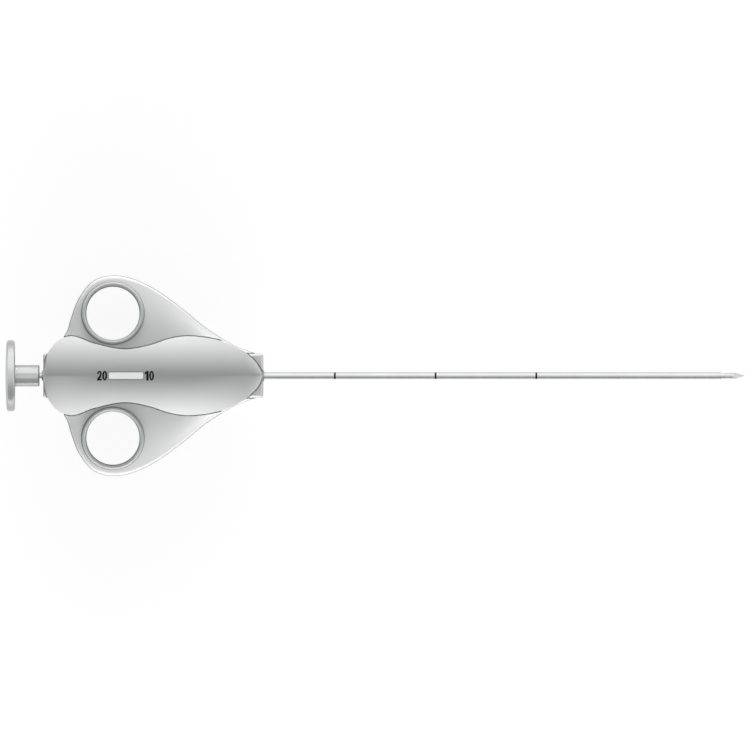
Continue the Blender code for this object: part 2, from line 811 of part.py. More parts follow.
def nose_bush(finish):
    """Bush of the cannula in the front wall, with a lip round the needle."""
    bore = CANNULA_RADIUS + PIN_FIT
    bush = turned(
        "nose_bush",
        [
            (BARREL_LENGTH + FRONT_BUSH_LIP, bore),
            (BARREL_LENGTH + FRONT_BUSH_LIP, FRONT_BUSH_LIP_RADIUS),
            (BARREL_LENGTH, FRONT_BUSH_LIP_RADIUS),
            (BARREL_LENGTH, BUSH_RADIUS),
            (FRONT_WALL_STATION, BUSH_RADIUS),
            (FRONT_WALL_STATION, bore),
        ],
    )
    return add(smooth(bush), finish)


def front_buffer(finish):
    """Soft ring that stops the carriage."""
    bore = CANNULA_RADIUS + GAP
    ring = turned(
        "front_buffer",
        [(BUFFER_FRONT, bore), (BUFFER_FRONT, BUFFER_RADIUS), (BUFFER_REAR, BUFFER_RADIUS), (BUFFER_REAR, bore)],
    )
    return add(smooth(ring), finish)


def sear_pin(finish):
    half_length = SEAR_WIDTH / 2 + GAP + EAR_THICKNESS
    pin = cross_pin("sear_pin", PIVOT_STATION, -SEAR_PIVOT_DROP, half_length, SEAR_PIN_RADIUS)
    return add(smooth(pin), finish)


def flat_bar(name, outline, half_width):
    """A bar whose side view is an outline of (station, height), as thick as twice half_width along Y."""
    curve = bpy.data.curves.new(name, "CURVE")
    curve.dimensions = "2D"
    curve.fill_mode = "BOTH"
    curve.extrude = half_width
    spline = curve.splines.new("POLY")
    spline.points.add(len(outline) - 1)
    for point, (station, height) in zip(spline.points, outline):
        point.co = (station, height, 0.0, 1.0)
    spline.use_cyclic_u = True
    source = bpy.data.objects.new(name + "_curve", curve)
    bpy.context.scene.collection.objects.link(source)
    bpy.context.view_layer.update()
    evaluated = source.evaluated_get(bpy.context.evaluated_depsgraph_get())
    mesh = bpy.data.meshes.new_from_object(evaluated)
    mesh.name = name
    bpy.data.objects.remove(source, do_unlink=True)
    shape = bmesh.new()
    shape.from_mesh(mesh)
    bmesh.ops.remove_doubles(shape, verts=shape.verts, dist=0.000005)
    bmesh.ops.recalc_face_normals(shape, faces=shape.faces)
    shape.to_mesh(mesh)
    shape.free()
    obj = bpy.data.objects.new(name, mesh)
    bpy.context.scene.collection.objects.link(obj)
    obj.rotation_euler = (math.radians(90.0), 0.0, 0.0)
    obj.location = world(0.0)
    return obj


def sear_lever(finish, carrier):
    """Lever with the nose that holds the carriage back, an eye on its pin and a tail for its spring."""
    nose_top = -CAVITY_HALF_HEIGHT
    rear = NOSE_STATION - SEAR_NOSE / 2
    front = NOSE_STATION + SEAR_NOSE / 2
    arm_top = -SEAR_PIVOT_DROP + SEAR_ARM_THICKNESS / 2
    arm_low = -SEAR_PIVOT_DROP - SEAR_ARM_THICKNESS / 2
    tail = PIVOT_STATION + SEAR_TAIL
    lever = flat_bar(
        "sear_lever",
        [
            (rear, nose_top - SEAR_LIFT),
            (rear + SEAR_NOSE / 2, nose_top),
            (front, nose_top),
            (front, arm_top + SEAR_NOSE / 2),
            (front + SEAR_NOSE / 2, arm_top),
            (tail, arm_top),
            (tail, arm_low + SEAR_ARM_THICKNESS / 3),
            (tail - SEAR_ARM_THICKNESS, arm_low),
            (rear + SEAR_NOSE / 2, arm_low),
            (rear, arm_low + SEAR_ARM_THICKNESS / 2),
        ],
        SEAR_WIDTH / 2,
    )
    join(lever, cross_pin("sear_eye", PIVOT_STATION, -SEAR_PIVOT_DROP, SEAR_WIDTH / 2, SEAR_EYE_RADIUS))
    cut(lever, cross_pin("sear_bore", PIVOT_STATION, -SEAR_PIVOT_DROP, SEAR_WIDTH, SEAR_PIN_RADIUS + PIN_FIT))
    return add(smooth(lever), finish, carrier)


def sear_spring(finish):
    """Leaf staked under the trough that presses the sear's tail down, so that its nose rises."""
    tail = PIVOT_STATION + SEAR_TAIL
    top = -BARREL_HALF_HEIGHT - GAP
    tip_top = -SEAR_PIVOT_DROP + SEAR_ARM_THICKNESS / 2 + GAP + SEAR_SPRING_THICKNESS
    reach = tail - SEAR_ARM_THICKNESS
    leaf = flat_bar(
        "sear_spring",
        [
            (tail + SEAR_SPRING_FOOT, top),
            (tail + SEAR_ARM_THICKNESS / 2, top),
            (reach + SEAR_ARM_THICKNESS / 2, tip_top),
            (reach - SEAR_ARM_THICKNESS / 2, tip_top),
            (reach - SEAR_ARM_THICKNESS / 2, tip_top - SEAR_SPRING_THICKNESS),
            (reach + SEAR_ARM_THICKNESS / 2, tip_top - SEAR_SPRING_THICKNESS),
            (tail + SEAR_ARM_THICKNESS / 2, top - SEAR_SPRING_THICKNESS),
            (tail + SEAR_SPRING_FOOT, top - SEAR_SPRING_THICKNESS),
        ],
        SEAR_WIDTH / 2,
    )
    cut(
        leaf,
        upright(
            "leaf_hole",
            tail + SEAR_SPRING_FOOT / 2,
            0.0,
            top - 2 * BARREL_WALL,
            top + BARREL_WALL,
            STAKE_RADIUS + PIN_FIT,
            20,
        ),
    )
    return add(smooth(leaf), finish)


def carriage(finish, carrier):
    """Block that runs in the barrel: chamber of the pull collar, seat of the hub, notches for the sear."""
    block = box(
        "carriage",
        (CARRIAGE_REAR, -CARRIAGE_HALF_WIDTH, -CARRIAGE_HALF_HEIGHT),
        (CARRIAGE_FRONT, CARRIAGE_HALF_WIDTH, CARRIAGE_HALF_HEIGHT),
        CARRIAGE_CORNER,
    )
    cut(
        block,
        rod("stylet_way", CARRIAGE_REAR - GAP, CHAMBER_REAR + GAP, STYLET_RADIUS + PIN_FIT),
        rod("collar_chamber", CHAMBER_REAR, CHAMBER_FRONT, CHAMBER_RADIUS),
        rod("hub_bore", CHAMBER_FRONT - GAP, CARRIAGE_FRONT + GAP, HUB_RADIUS + RUNNING_FIT),
    )
    for shift in (0.0, SHORT_THROW, LONG_THROW):
        middle = NOSE_STATION + shift
        cut(
            block,
            box(
                "sear_notch",
                (
                    middle - SEAR_NOSE / 2 - RELEASE_TRAVEL - GAP,
                    -SEAR_WIDTH / 2 - GAP,
                    -CARRIAGE_HALF_HEIGHT - GAP,
                ),
                (middle + SEAR_NOSE / 2 + SEAR_SWING + GAP, SEAR_WIDTH / 2 + GAP, -CHAMBER_RADIUS / 2),
            ),
        )
    inset = FLAG_STALK_INSET - GAP
    cut(
        block,
        box(
            "flag_pocket",
            (FLAG_REAR + inset, FLAG_SLIT_LOW, CARRIAGE_HALF_HEIGHT - FLAG_POCKET_DEPTH),
            (FLAG_REAR + FLAG_LENGTH - inset, FLAG_SLIT_HIGH, BARREL_HALF_HEIGHT),
        ),
    )
    return add(smooth(block, 30.0), finish, carrier)


def throw_flag(finish, carrier):
    """Flag on a stalk beside the window, which shows the set throw in it."""
    stalk_low = FLAG_STALK_OFFSET - FLAG_STALK_WIDTH / 2
    stalk_high = FLAG_STALK_OFFSET + FLAG_STALK_WIDTH / 2
    flag = box(
        "throw_flag",
        (FLAG_REAR, -FLAG_WIDTH / 2, FLAG_BOTTOM),
        (FLAG_REAR + FLAG_LENGTH, stalk_high, FLAG_BOTTOM + FLAG_THICKNESS),
    )
    stalk = box(
        "flag_stalk",
        (FLAG_REAR + FLAG_STALK_INSET, stalk_low, CARRIAGE_HALF_HEIGHT - FLAG_POCKET_DEPTH + GAP),
        (FLAG_REAR + FLAG_LENGTH - FLAG_STALK_INSET, stalk_high, FLAG_BOTTOM + FLAG_THICKNESS / 2),
    )
    join(flag, stalk)
    return add(flag, finish, carrier)


def cannula_hub(finish, carrier):
    """Hub bonded on the cannula and let into the carriage."""
    bore = CANNULA_RADIUS + RUNNING_FIT
    hub = turned(
        "cannula_hub",
        [(HUB_FRONT, bore), (HUB_FRONT, HUB_RADIUS), (HUB_REAR, HUB_RADIUS), (HUB_REAR, bore)],
    )
    return add(smooth(hub), finish, carrier)


def cannula(finish, carrier):
    """Thin tube whose end is ground to a point on top by two planes."""
    bore = CANNULA_RADIUS - CANNULA_WALL
    tube = turned(
        "cannula",
        [(CANNULA_TIP, bore), (CANNULA_TIP, CANNULA_RADIUS), (HUB_REAR, CANNULA_RADIUS), (HUB_REAR, bore)],
        steps=NEEDLE_SIDES,
    )
    for hand, side in ((1.0, "left"), (-1.0, "right")):
        cut(tube, grind("cannula_grind_" + side, CANNULA_TIP, CANNULA_RADIUS, CANNULA_BEVEL, hand))
    return add(smooth(tube), finish, carrier)


def grind(name, tip, top, length, hand):
    """A slab whose face passes through the point of the needle and slopes back down and sideways."""
    size = 4 * length
    slab = box(name, (0.0, -size, -size), (size, size, size))
    back = Vector((length, 0.0, 2 * top))
    aside = Vector((length, hand * 2 * top, 0.0))
    normal = back.cross(aside)
    normal = normal if normal.x > 0 else -normal
    normal.normalize()
    slab.rotation_mode = "QUATERNION"
    slab.rotation_quaternion = Vector((1.0, 0.0, 0.0)).rotation_difference(normal)
    slab.location = world(tip, 0.0, top) + normal * size / 2
    return slab


def stylet(finish, carrier):
    """Solid needle with the specimen notch and a three-faced point."""
    rear = BOSS_FRONT - STYLET_SOCKET + GAP
    needle = rod("stylet", rear, TIP_STATION, STYLET_RADIUS, NEEDLE_SIDES)
    notch_front = TIP_STATION - NOTCH_START
    notch_rear = notch_front - NOTCH_LENGTH
    floor = STYLET_RADIUS - NOTCH_DEPTH
    over = 2 * STYLET_RADIUS
    notch = flat_bar(
        "notch",
        [
            (notch_rear, floor),
            (notch_front - NOTCH_RAMP, floor),
            (notch_front, over),
            (notch_rear - NOTCH_RAMP, over),
        ],
        over,
    )
    cut(needle, notch)
    facet = box("facet", (0.0, -over, 0.0), (2 * STYLET_FACET, over, 2 * over))
    slope = math.atan2(STYLET_FACET_DEPTH, STYLET_FACET)
    facet.rotation_euler = (0.0, slope, 0.0)
    along = Vector((math.cos(slope), 0.0, -math.sin(slope)))
    outward = Vector((math.sin(slope), 0.0, math.cos(slope)))
    facet.location = (
        world(TIP_STATION - STYLET_FACET, 0.0, STYLET_RADIUS) + along * STYLET_FACET / 2 + outward * over
    )
    cut(needle, facet)
    for hand, side in ((1.0, "left"), (-1.0, "right")):
        slant = math.atan2(STYLET_RADIUS, STYLET_GRIND)
        face = box("side_grind_" + side, (0.0, 0.0, -over), (2 * STYLET_GRIND, 2 * over, over))
        face.rotation_euler = (0.0, 0.0, -hand * slant)
        lengthwise = Vector((math.cos(slant), -hand * math.sin(slant), 0.0))
        sideways = Vector((math.sin(slant), hand * math.cos(slant), 0.0))
        face.location = (
            world(TIP_STATION - STYLET_GRIND, hand * STYLET_RADIUS)
            + lengthwise * STYLET_GRIND / 2
            + sideways * over
        )
        cut(needle, face)
    return add(smooth(needle), finish, carrier)


def stylet_collar(finish, carrier):
    """Collar crimped on the stylet: its rear face pulls the carriage, its cone presses the sear's nose."""
    bore = STYLET_RADIUS + RUNNING_FIT
    cone_end = COLLAR_RADIUS - COLLAR_CONE
    collar = turned(
        "stylet_collar",
        [
            (COLLAR_FRONT, bore),
            (COLLAR_FRONT, cone_end),
            (COLLAR_FRONT - COLLAR_CONE, COLLAR_RADIUS),
            (COLLAR_REAR, COLLAR_RADIUS),
            (COLLAR_REAR, bore),
        ],
    )
    return add(smooth(collar), finish, carrier)


def plunger(finish, carrier):
    """Thumb disc and grooved boss, turned as one, with the blind socket of the stylet."""
    outer = []
    for i in range(DISC_EDGE_STEPS + 1):
        angle = math.radians(90.0 * i / DISC_EDGE_STEPS)
        outer.append((
            DISC_FRONT - DISC_EDGE + DISC_EDGE * math.cos(angle),
            DISC_RADIUS - DISC_EDGE + DISC_EDGE * math.sin(angle),
        ))
    for i in range(DISC_EDGE_STEPS + 1):
        angle = math.radians(90.0 * i / DISC_EDGE_STEPS)
        outer.append((
            DISC_REAR + DISC_EDGE - DISC_EDGE * math.sin(angle),
            DISC_RADIUS - DISC_EDGE + DISC_EDGE * math.cos(angle),
        ))
    profile = [
        (BOSS_FRONT, 0.0),
        (BOSS_FRONT, BOSS_RADIUS - BOSS_EDGE),
        (BOSS_FRONT - BOSS_EDGE, BOSS_RADIUS),
        (DISC_FRONT, BOSS_RADIUS),
        *outer,
        (DISC_REAR - DISC_DOME * 0.7, DISC_RADIUS / 2),
        (DISC_REAR - DISC_DOME, 0.0),
    ]
    body = turned("plunger", profile, steps=DISC_STEPS)
    cut(body, rod("stylet_socket", BOSS_FRONT - STYLET_SOCKET, BOSS_FRONT + GAP, STYLET_RADIUS + RUNNING_FIT))
    for upward, side in ((1.0, "top"), (-1.0, "under")):
        near = upward * (BOSS_RADIUS - GROOVE_DEPTH)
        far = upward * BOSS_RADIUS * 1.2
        cut(
            body,
            box(
                "groove_" + side,
                (DISC_FRONT + GAP, -GROOVE_WIDTH / 2, min(near, far)),
                (BOSS_FRONT - GROOVE_END, GROOVE_WIDTH / 2, max(near, far)),
            ),
        )
    return add(smooth(body, 35.0), finish, carrier)


def drive_spring(finish):
    """Compression spring round the stylet, between the rear wall and the carriage."""
    rear = REAR_WALL + GAP + SPRING_WIRE
    front = CARRIAGE_REAR - GAP - SPRING_WIRE
    dead = SPRING_DEAD_TURNS * 2 * SPRING_WIRE * 1.05
    count = SPRING_TURNS * SPRING_POINTS_PER_TURN
    curve = bpy.data.curves.new("drive_spring", "CURVE")
    curve.dimensions = "3D"
    curve.bevel_depth = SPRING_WIRE
    curve.bevel_resolution = 2
    curve.use_fill_caps = True
    spline = curve.splines.new("POLY")
    spline.points.add(count)
    for i, point in enumerate(spline.points):
        turn = SPRING_TURNS * i / count
        if turn < SPRING_DEAD_TURNS:
            along = rear + dead * turn / SPRING_DEAD_TURNS
        elif turn > SPRING_TURNS - SPRING_DEAD_TURNS:
            along = front - dead * (SPRING_TURNS - turn) / SPRING_DEAD_TURNS
        else:
            share = (turn - SPRING_DEAD_TURNS) / (SPRING_TURNS - 2 * SPRING_DEAD_TURNS)
            along = rear + dead + (front - rear - 2 * dead) * share
        angle = 2 * math.pi * turn
        place = world(along, SPRING_RADIUS * math.cos(angle), SPRING_RADIUS * math.sin(angle))
        point.co = (*place, 1.0)
    obj = bpy.data.objects.new("drive_spring", curve)
    bpy.context.scene.collection.objects.link(obj)
    curve.materials.append(finish)
    return add(obj)


def main():
    start_empty_scene()
    grip_plastic = material("grip_plastic", (0.70, 0.71, 0.72), 0.45)
    barrel_plastic = material("barrel_plastic", (0.72, 0.73, 0.74), 0.4)
    cover_plastic = material("cover_plastic", (0.55, 0.56, 0.57), 0.42)
    plunger_plastic = material("plunger_plastic", (0.6, 0.61, 0.62), 0.4)
    slide_plastic = material("slide_plastic", (0.75, 0.75, 0.73), 0.5)
    flag_plastic = material("flag_plastic", (0.05, 0.3, 0.16), 0.5)
    clear_plastic = material("clear_plastic", (0.92, 0.93, 0.94), 0.05, alpha=0.35)
    dark_rubber = material("dark_rubber", (0.03, 0.03, 0.03), 0.7)
    bush_steel = material("bush_steel", (0.55, 0.55, 0.56), 0.35, 1.0)
    needle_steel = material("needle_steel", (0.62, 0.63, 0.64), 0.25, 1.0)
    spring_steel = material("spring_steel", (0.45, 0.46, 0.48), 0.35, 1.0)

    plunger_axis = pivot("plunger_slide_axis", world(0.0))
    cannula_axis = pivot("cannula_slide_axis", world(CARRIAGE_REAR), plunger_axis)
    sear_axis = pivot("sear_hinge_axis", world(PIVOT_STATION, 0.0, -SEAR_PIVOT_DROP))

    finger_grip_body(grip_plastic)
    barrel_cap(barrel_plastic)
    upper_cover(cover_plastic)
    window_lens(clear_plastic)
    lower_cover(cover_plastic)
    rear_bush(bush_steel)
    nose_bush(bush_steel)
    front_buffer(dark_rubber)
    sear_pin(bush_steel)
    sear_spring(spring_steel)
    sear_lever(bush_steel, sear_axis)
    plunger(plunger_plastic, plunger_axis)
    stylet(needle_steel, plunger_axis)
    stylet_collar(bush_steel, plunger_axis)
    carriage(slide_plastic, cannula_axis)
    throw_flag(flag_plastic, cannula_axis)
    cannula_hub(slide_plastic, cannula_axis)
    cannula(needle_steel, cannula_axis)
    drive_spring(spring_steel)


main()
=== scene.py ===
# Looks of the semi-automatic biopsy needle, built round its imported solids
import math

import bmesh
import bpy
from mathutils import Matrix, Vector


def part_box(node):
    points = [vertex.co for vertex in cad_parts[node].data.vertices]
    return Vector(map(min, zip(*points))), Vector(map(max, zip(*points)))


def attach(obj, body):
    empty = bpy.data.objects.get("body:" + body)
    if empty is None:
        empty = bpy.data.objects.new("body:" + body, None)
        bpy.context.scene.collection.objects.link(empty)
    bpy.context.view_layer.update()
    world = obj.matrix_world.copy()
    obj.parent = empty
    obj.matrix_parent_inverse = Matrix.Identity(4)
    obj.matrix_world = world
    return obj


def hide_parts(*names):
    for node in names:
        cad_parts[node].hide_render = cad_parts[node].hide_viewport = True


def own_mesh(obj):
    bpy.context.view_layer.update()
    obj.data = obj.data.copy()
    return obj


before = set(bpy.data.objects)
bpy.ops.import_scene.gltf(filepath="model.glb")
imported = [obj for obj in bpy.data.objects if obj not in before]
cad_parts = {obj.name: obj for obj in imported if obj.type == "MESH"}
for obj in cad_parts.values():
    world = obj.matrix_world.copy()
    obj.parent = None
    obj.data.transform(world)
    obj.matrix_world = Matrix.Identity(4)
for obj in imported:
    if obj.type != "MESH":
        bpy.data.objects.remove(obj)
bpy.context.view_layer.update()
mm = 0.001

# Places read from the solids
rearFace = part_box("barrel_cap")[0].x
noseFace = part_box("barrel_cap")[1].x
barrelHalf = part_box("barrel_cap")[1].y
axisHeight = (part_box("cannula")[0].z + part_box("cannula")[1].z) / 2
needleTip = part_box("stylet")[1].x
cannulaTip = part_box("cannula")[1].x
barrelLength = noseFace - rearFace
print("frame loaded, barrel", round(barrelLength / mm, 1), "mm long")


def spot(station, side=0.0, height=0.0):  # from the barrel's rear face and the needle axis, in metres
    return Vector((rearFace + station, side, axisHeight + height))


# Materials


def newMaterial(name):
    made = bpy.data.materials.new(name)
    made.use_nodes = True
    tree = made.node_tree
    return made, tree, tree.nodes["Principled BSDF"]


def feed(tree, target, inputs):  # each input gets another node's output, or a plain value
    for key, value in inputs.items():
        if isinstance(value, bpy.types.NodeSocket):
            tree.links.new(value, target.inputs[key])
        else:
            target.inputs[key].default_value = value


def node(tree, kind, inputs={}, **settings):
    made = tree.nodes.new(kind)
    for key, value in settings.items():
        setattr(made, key, value)
    feed(tree, made, inputs)
    return made


def computed(tree, operation, *values):
    return node(tree, "ShaderNodeMath", dict(enumerate(values)), operation=operation).outputs["Value"]


def mapped(tree, value, fromLow, fromHigh, toLow=0.0, toHigh=1.0, easing="SMOOTHSTEP"):
    inputs = {"Value": value, "From Min": fromLow, "From Max": fromHigh, "To Min": toLow, "To Max": toHigh}
    return node(tree, "ShaderNodeMapRange", inputs, interpolation_type=easing).outputs["Result"]


def blended(tree, share, first, second, way="MIX"):
    inputs = {0: share, 6: first, 7: second}
    return node(tree, "ShaderNodeMix", inputs, data_type="RGBA", blend_type=way).outputs[2]


def parted(tree, vector):
    return node(tree, "ShaderNodeSeparateXYZ", {"Vector": vector}).outputs


def objectPlace(tree):
    return node(tree, "ShaderNodeTexCoord").outputs["Object"]


def noiseField(tree, scale, detail, roughness=0.5, stretch=None):
    place = objectPlace(tree)
    if stretch:
        place = node(tree, "ShaderNodeMapping", {"Vector": place, "Scale": stretch}).outputs["Vector"]
    inputs = {"Vector": place, "Scale": scale, "Detail": detail, "Roughness": roughness}
    return node(tree, "ShaderNodeTexNoise", inputs).outputs["Fac"]


noiseReach = (0.3, 0.7)  # nearly all of a noise field lies between these


def spread(tree, value, low, high):  # a noise field laid out from low to high
    return mapped(tree, value, *noiseReach, low, high, "LINEAR")


def tinted(tree, value, dark, light):
    ramp = node(tree, "ShaderNodeValToRGB", {"Fac": value})
    for element, place, colour in zip(ramp.color_ramp.elements, noiseReach, (dark, light)):
        element.color = (*colour, 1.0)
        element.position = place
    return ramp.outputs["Color"]


def bumped(tree, *fields):  # fields are (value, distance) pairs, laid over each other
    below = {}
    for value, distance in fields:
        inputs = {"Strength": 1.0, "Distance": distance, "Height": value, **below}
        bump = node(tree, "ShaderNodeBump", inputs)
        below = {"Normal": bump.outputs["Normal"]}
    return bump.outputs["Normal"]


# Painted shade: walls are coloured darker than the faces they drop from, by how upright the surface faces,
# which draws dark outlines along edges
paintedWallShade = dict(steep=0.4, level=0.8, tone=0.33)


def paintedSideShade(tree, colour, tone):
    facing = parted(tree, node(tree, "ShaderNodeNewGeometry").outputs["Normal"])
    upright = computed(tree, "ABSOLUTE", facing["Z"])
    share = mapped(tree, upright, paintedWallShade["steep"], paintedWallShade["level"], tone)
    shaded = node(tree, "ShaderNodeVectorMath", {0: colour, "Scale": share}, operation="SCALE")
    return shaded.outputs["Vector"]


# What all mouldings share: faint clouds, fine grain and wide ripples
mould = dict(
    cloudScale=45.0, cloudDetail=3.0, cloudTones=((0.95, 0.955, 0.955), (1.0, 1.0, 1.0)),
    grainScale=1500.0, grainDetail=2.0, grain=0.004 * mm,
    rippleScale=60.0, rippleDetail=1.0, rippleShare=6.0, roughness=(0.36, 0.46), ior=1.5,
)


def clouded(tree, dark, light):
    return tinted(tree, noiseField(tree, mould["cloudScale"], mould["cloudDetail"]), dark, light)


def mouldedSkin(tree, shader, colour, wall, roughness, grain=mould["grain"]):
    eroded = noiseField(tree, mould["grainScale"], mould["grainDetail"])
    rippled = noiseField(tree, mould["rippleScale"], mould["rippleDetail"])
    # the base colour gets painted shade on upright faces, falling to the wall tone; a wall of 1.0 paints none
    feed(tree, shader, {
        "Base Color": paintedSideShade(tree, colour, wall), "Roughness": spread(tree, eroded, *roughness),
        "Normal": bumped(tree, (eroded, grain), (rippled, mould["rippleShare"] * grain)),
    })


def mouldedPlastic(name, dark, light, roughness=mould["roughness"], grain=mould["grain"],
                   metallic=0.0, wall=1.0):
    made, tree, shader = newMaterial(name)
    mouldedSkin(tree, shader, clouded(tree, dark, light), wall, roughness, grain)
    feed(tree, shader, {"Metallic": metallic, "IOR": mould["ior"]})
    return made


def paintedShadeMoulding(name, shade, tones):  # a moulding whose painted shade shows through random clouds, with painted shade on its walls as well
    made, tree, shader = newMaterial(name)
    colour = shade(tree, parted(tree, objectPlace(tree)), tones)
    paintedShadeAndClouds = blended(tree, 1.0, colour, clouded(tree, *mould["cloudTones"]), "MULTIPLY")
    mouldedSkin(tree, shader, paintedShadeAndClouds, paintedWallShade["tone"], tones["roughness"])
    shader.inputs["Specular IOR Level"].default_value = tones["specular"]
    return made


# painted light and shade: from the darker inner tone to the lighter outer tone, by distance from the middle
def paintedOutwardTone(tree, aside, tones, easing):
    outward = mapped(tree, aside, tones["innerSide"], tones["outerSide"], easing=easing)
    return blended(tree, outward, (*tones["inner"], 1.0), (*tones["outer"], 1.0))


def paintedCoverShade(tree, place, tones):  # painted shade, darkest along the ridge and lighter towards the sides
    return paintedOutwardTone(tree, computed(tree, "ABSOLUTE", place["Y"]), tones, "LINEAR")


def paintedGripShade(tree, place, tones):  # painted light and shade: lighter outward, and ring lips painted darker away from the hole
    aside = computed(tree, "ABSOLUTE", place["Y"])
    flat = node(tree, "ShaderNodeCombineXYZ", {"X": place["X"], "Y": aside}).outputs["Vector"]
    apart = node(tree, "ShaderNodeVectorMath", {0: flat, 1: tones["ringCentre"]}, operation="DISTANCE")
    distance = apart.outputs["Value"]
    across = mapped(tree, distance, tones["lipInner"], tones["lipOuter"], easing="LINEAR")
    lip = blended(tree, across, (*tones["lipLight"], 1.0), (*tones["lipDark"], 1.0))
    inLip = computed(tree, "LESS_THAN", distance, tones["lipOuter"])
    return blended(tree, inLip, paintedOutwardTone(tree, aside, tones, "SMOOTHSTEP"), lip)


steel = dict(brushScale=400.0, brushDetail=4.0, brushRoughness=0.6, cloudScale=90.0, cloudDetail=2.0,
             grain=0.0015 * mm)


def groundSteel(name, dark, light, roughness=(0.16, 0.3), stretch=(1.0, 40.0, 40.0), wall=1.0):
    made, tree, shader = newMaterial(name)
    brushed = noiseField(tree, steel["brushScale"], steel["brushDetail"], steel["brushRoughness"], stretch)
    cloudy = noiseField(tree, steel["cloudScale"], steel["cloudDetail"])
    # the base colour gets painted shade on upright faces, falling to the wall tone; a wall of 1.0 paints none
    feed(tree, shader, {
        "Base Color": paintedSideShade(tree, tinted(tree, cloudy, dark, light), wall), "Metallic": 1.0,
        "Roughness": spread(tree, brushed, *roughness), "Normal": bumped(tree, (brushed, steel["grain"])),
    })
    return made


def evenFinish(name, look):  # one noise gives tone, roughness and relief
    made, tree, shader = newMaterial(name)
    field = noiseField(tree, look["scale"], look["detail"])
    feed(tree, shader, {
        "Base Color": tinted(tree, field, look["dark"], look["light"]),
        "Roughness": spread(tree, field, *look["roughness"]),
        "Normal": bumped(tree, (field, look["depth"])), **look["sockets"],
    })
    return made


# painted light and shade of the finger plate: inner and outer tones by distance from the middle, and a
# painted shade band on the ring lips
gripPaintedTones = dict(
    inner=(0.93, 0.935, 0.935), outer=(0.955, 0.96, 0.96), innerSide=12.0 * mm, outerSide=40.0 * mm,
    ringCentre=(rearFace + 28.9 * mm, 25.9 * mm, 0.0), lipInner=11.0 * mm, lipOuter=13.25 * mm,
    lipLight=(0.93, 0.95, 0.945), lipDark=(0.60, 0.64, 0.635), roughness=(0.42, 0.52), specular=0.35,
)
# painted shade of the cover: the inner tone along the ridge, the lighter outer tone at the sides
coverPaintedTones = dict(
    inner=(0.56, 0.565, 0.565), outer=(0.72, 0.725, 0.725), innerSide=1.5 * mm, outerSide=14.0 * mm,
    roughness=(0.36, 0.46), specular=0.4,
)
rubberLook = dict(
    scale=900.0, detail=5.0, dark=(0.018, 0.018, 0.019), light=(0.035, 0.035, 0.036),
    roughness=(0.6, 0.8), depth=0.02 * mm, sockets={},
)
inkLook = dict(
    scale=2500.0, detail=3.0, dark=(0.004, 0.004, 0.004), light=(0.008, 0.008, 0.008),
    roughness=(0.5, 0.65), depth=0.003 * mm, sockets={"Specular IOR Level": 0.15},
)
lensLookWithPaintedGlow = dict(  # milky, and glowing a little as painted light that lightens the window
    scale=120.0, detail=2.0, dark=(0.95, 0.96, 0.97), light=(0.99, 0.99, 0.99),
    roughness=(0.03, 0.08), depth=0.004 * mm,
    sockets={"Transmission Weight": 0.15, "Emission Color": (1.0, 1.0, 1.0, 1.0),
             "Emission Strength": 0.22, "IOR": 1.35},
)
gripPlastic = paintedShadeMoulding("gripPlastic", paintedGripShade, gripPaintedTones)
coverPlastic = paintedShadeMoulding("coverPlastic", paintedCoverShade, coverPaintedTones)
# barrel and plunger get painted shade on their walls, falling to the wall tone given
barrelPlastic = mouldedPlastic(
    "barrelPlastic", (0.88, 0.89, 0.89), (0.92, 0.93, 0.93), wall=paintedWallShade["tone"])
plungerPlastic = mouldedPlastic(
    "plungerPlastic", (0.66, 0.67, 0.67), (0.70, 0.71, 0.71),
    roughness=(0.22, 0.26), grain=0.0004 * mm, metallic=0.85, wall=0.6)
slidePlastic = mouldedPlastic("slidePlastic", (0.74, 0.74, 0.71), (0.80, 0.80, 0.77), (0.4, 0.5))
flagPlastic = mouldedPlastic("flagPlastic", (0.012, 0.10, 0.045), (0.018, 0.13, 0.06), (0.35, 0.45))
# the needle gets painted shade on its walls, which gives it dark edges along both sides
needleSteel = groundSteel("needleSteel", (0.76, 0.77, 0.78), (0.82, 0.83, 0.84), wall=0.45)
bushSteel = groundSteel(
    "bushSteel", (0.44, 0.44, 0.45), (0.52, 0.52, 0.53), (0.24, 0.38), (40.0, 4.0, 4.0))
springSteel = groundSteel(
    "springSteel", (0.30, 0.31, 0.33), (0.40, 0.41, 0.43), (0.28, 0.42), (8.0, 8.0, 8.0))
darkRubber = evenFinish("darkRubber", rubberLook)
numberInk = evenFinish("numberInk", inkLook)
bandInk = evenFinish("bandInk", inkLook)
lensPlastic = evenFinish("lensPlastic", lensLookWithPaintedGlow)
print("materials made")


# Shared shape tools


def fromBmesh(name, shape):
    mesh = bpy.data.meshes.new(name)
    shape.to_mesh(mesh)
    shape.free()
    piece = bpy.data.objects.new(name, mesh)
    bpy.context.scene.collection.objects.link(piece)
    return piece


def closedBody(name, shape):  # its faces turned outwards
    bmesh.ops.recalc_face_normals(shape, faces=shape.faces)
    return fromBmesh(name, shape)


def settled(piece):  # modifiers and placing taken into the mesh, at the origin
    bpy.context.view_layer.update()
    evaluated = piece.evaluated_get(bpy.context.evaluated_depsgraph_get())
    mesh = bpy.data.meshes.new_from_object(evaluated)
    mesh.transform(piece.matrix_world)
    old = piece.data
    name = piece.name
    bpy.data.objects.remove(piece)
    if old.users == 0 and isinstance(old, bpy.types.Mesh):
        bpy.data.meshes.remove(old)
    mesh.name = name
    made = bpy.data.objects.new(name, mesh)
    bpy.context.scene.collection.objects.link(made)
    return made


def smoothed(piece, degrees=32.0):
    piece.data.shade_smooth()
    piece.data.set_sharp_from_angle(angle=math.radians(degrees))
    return piece


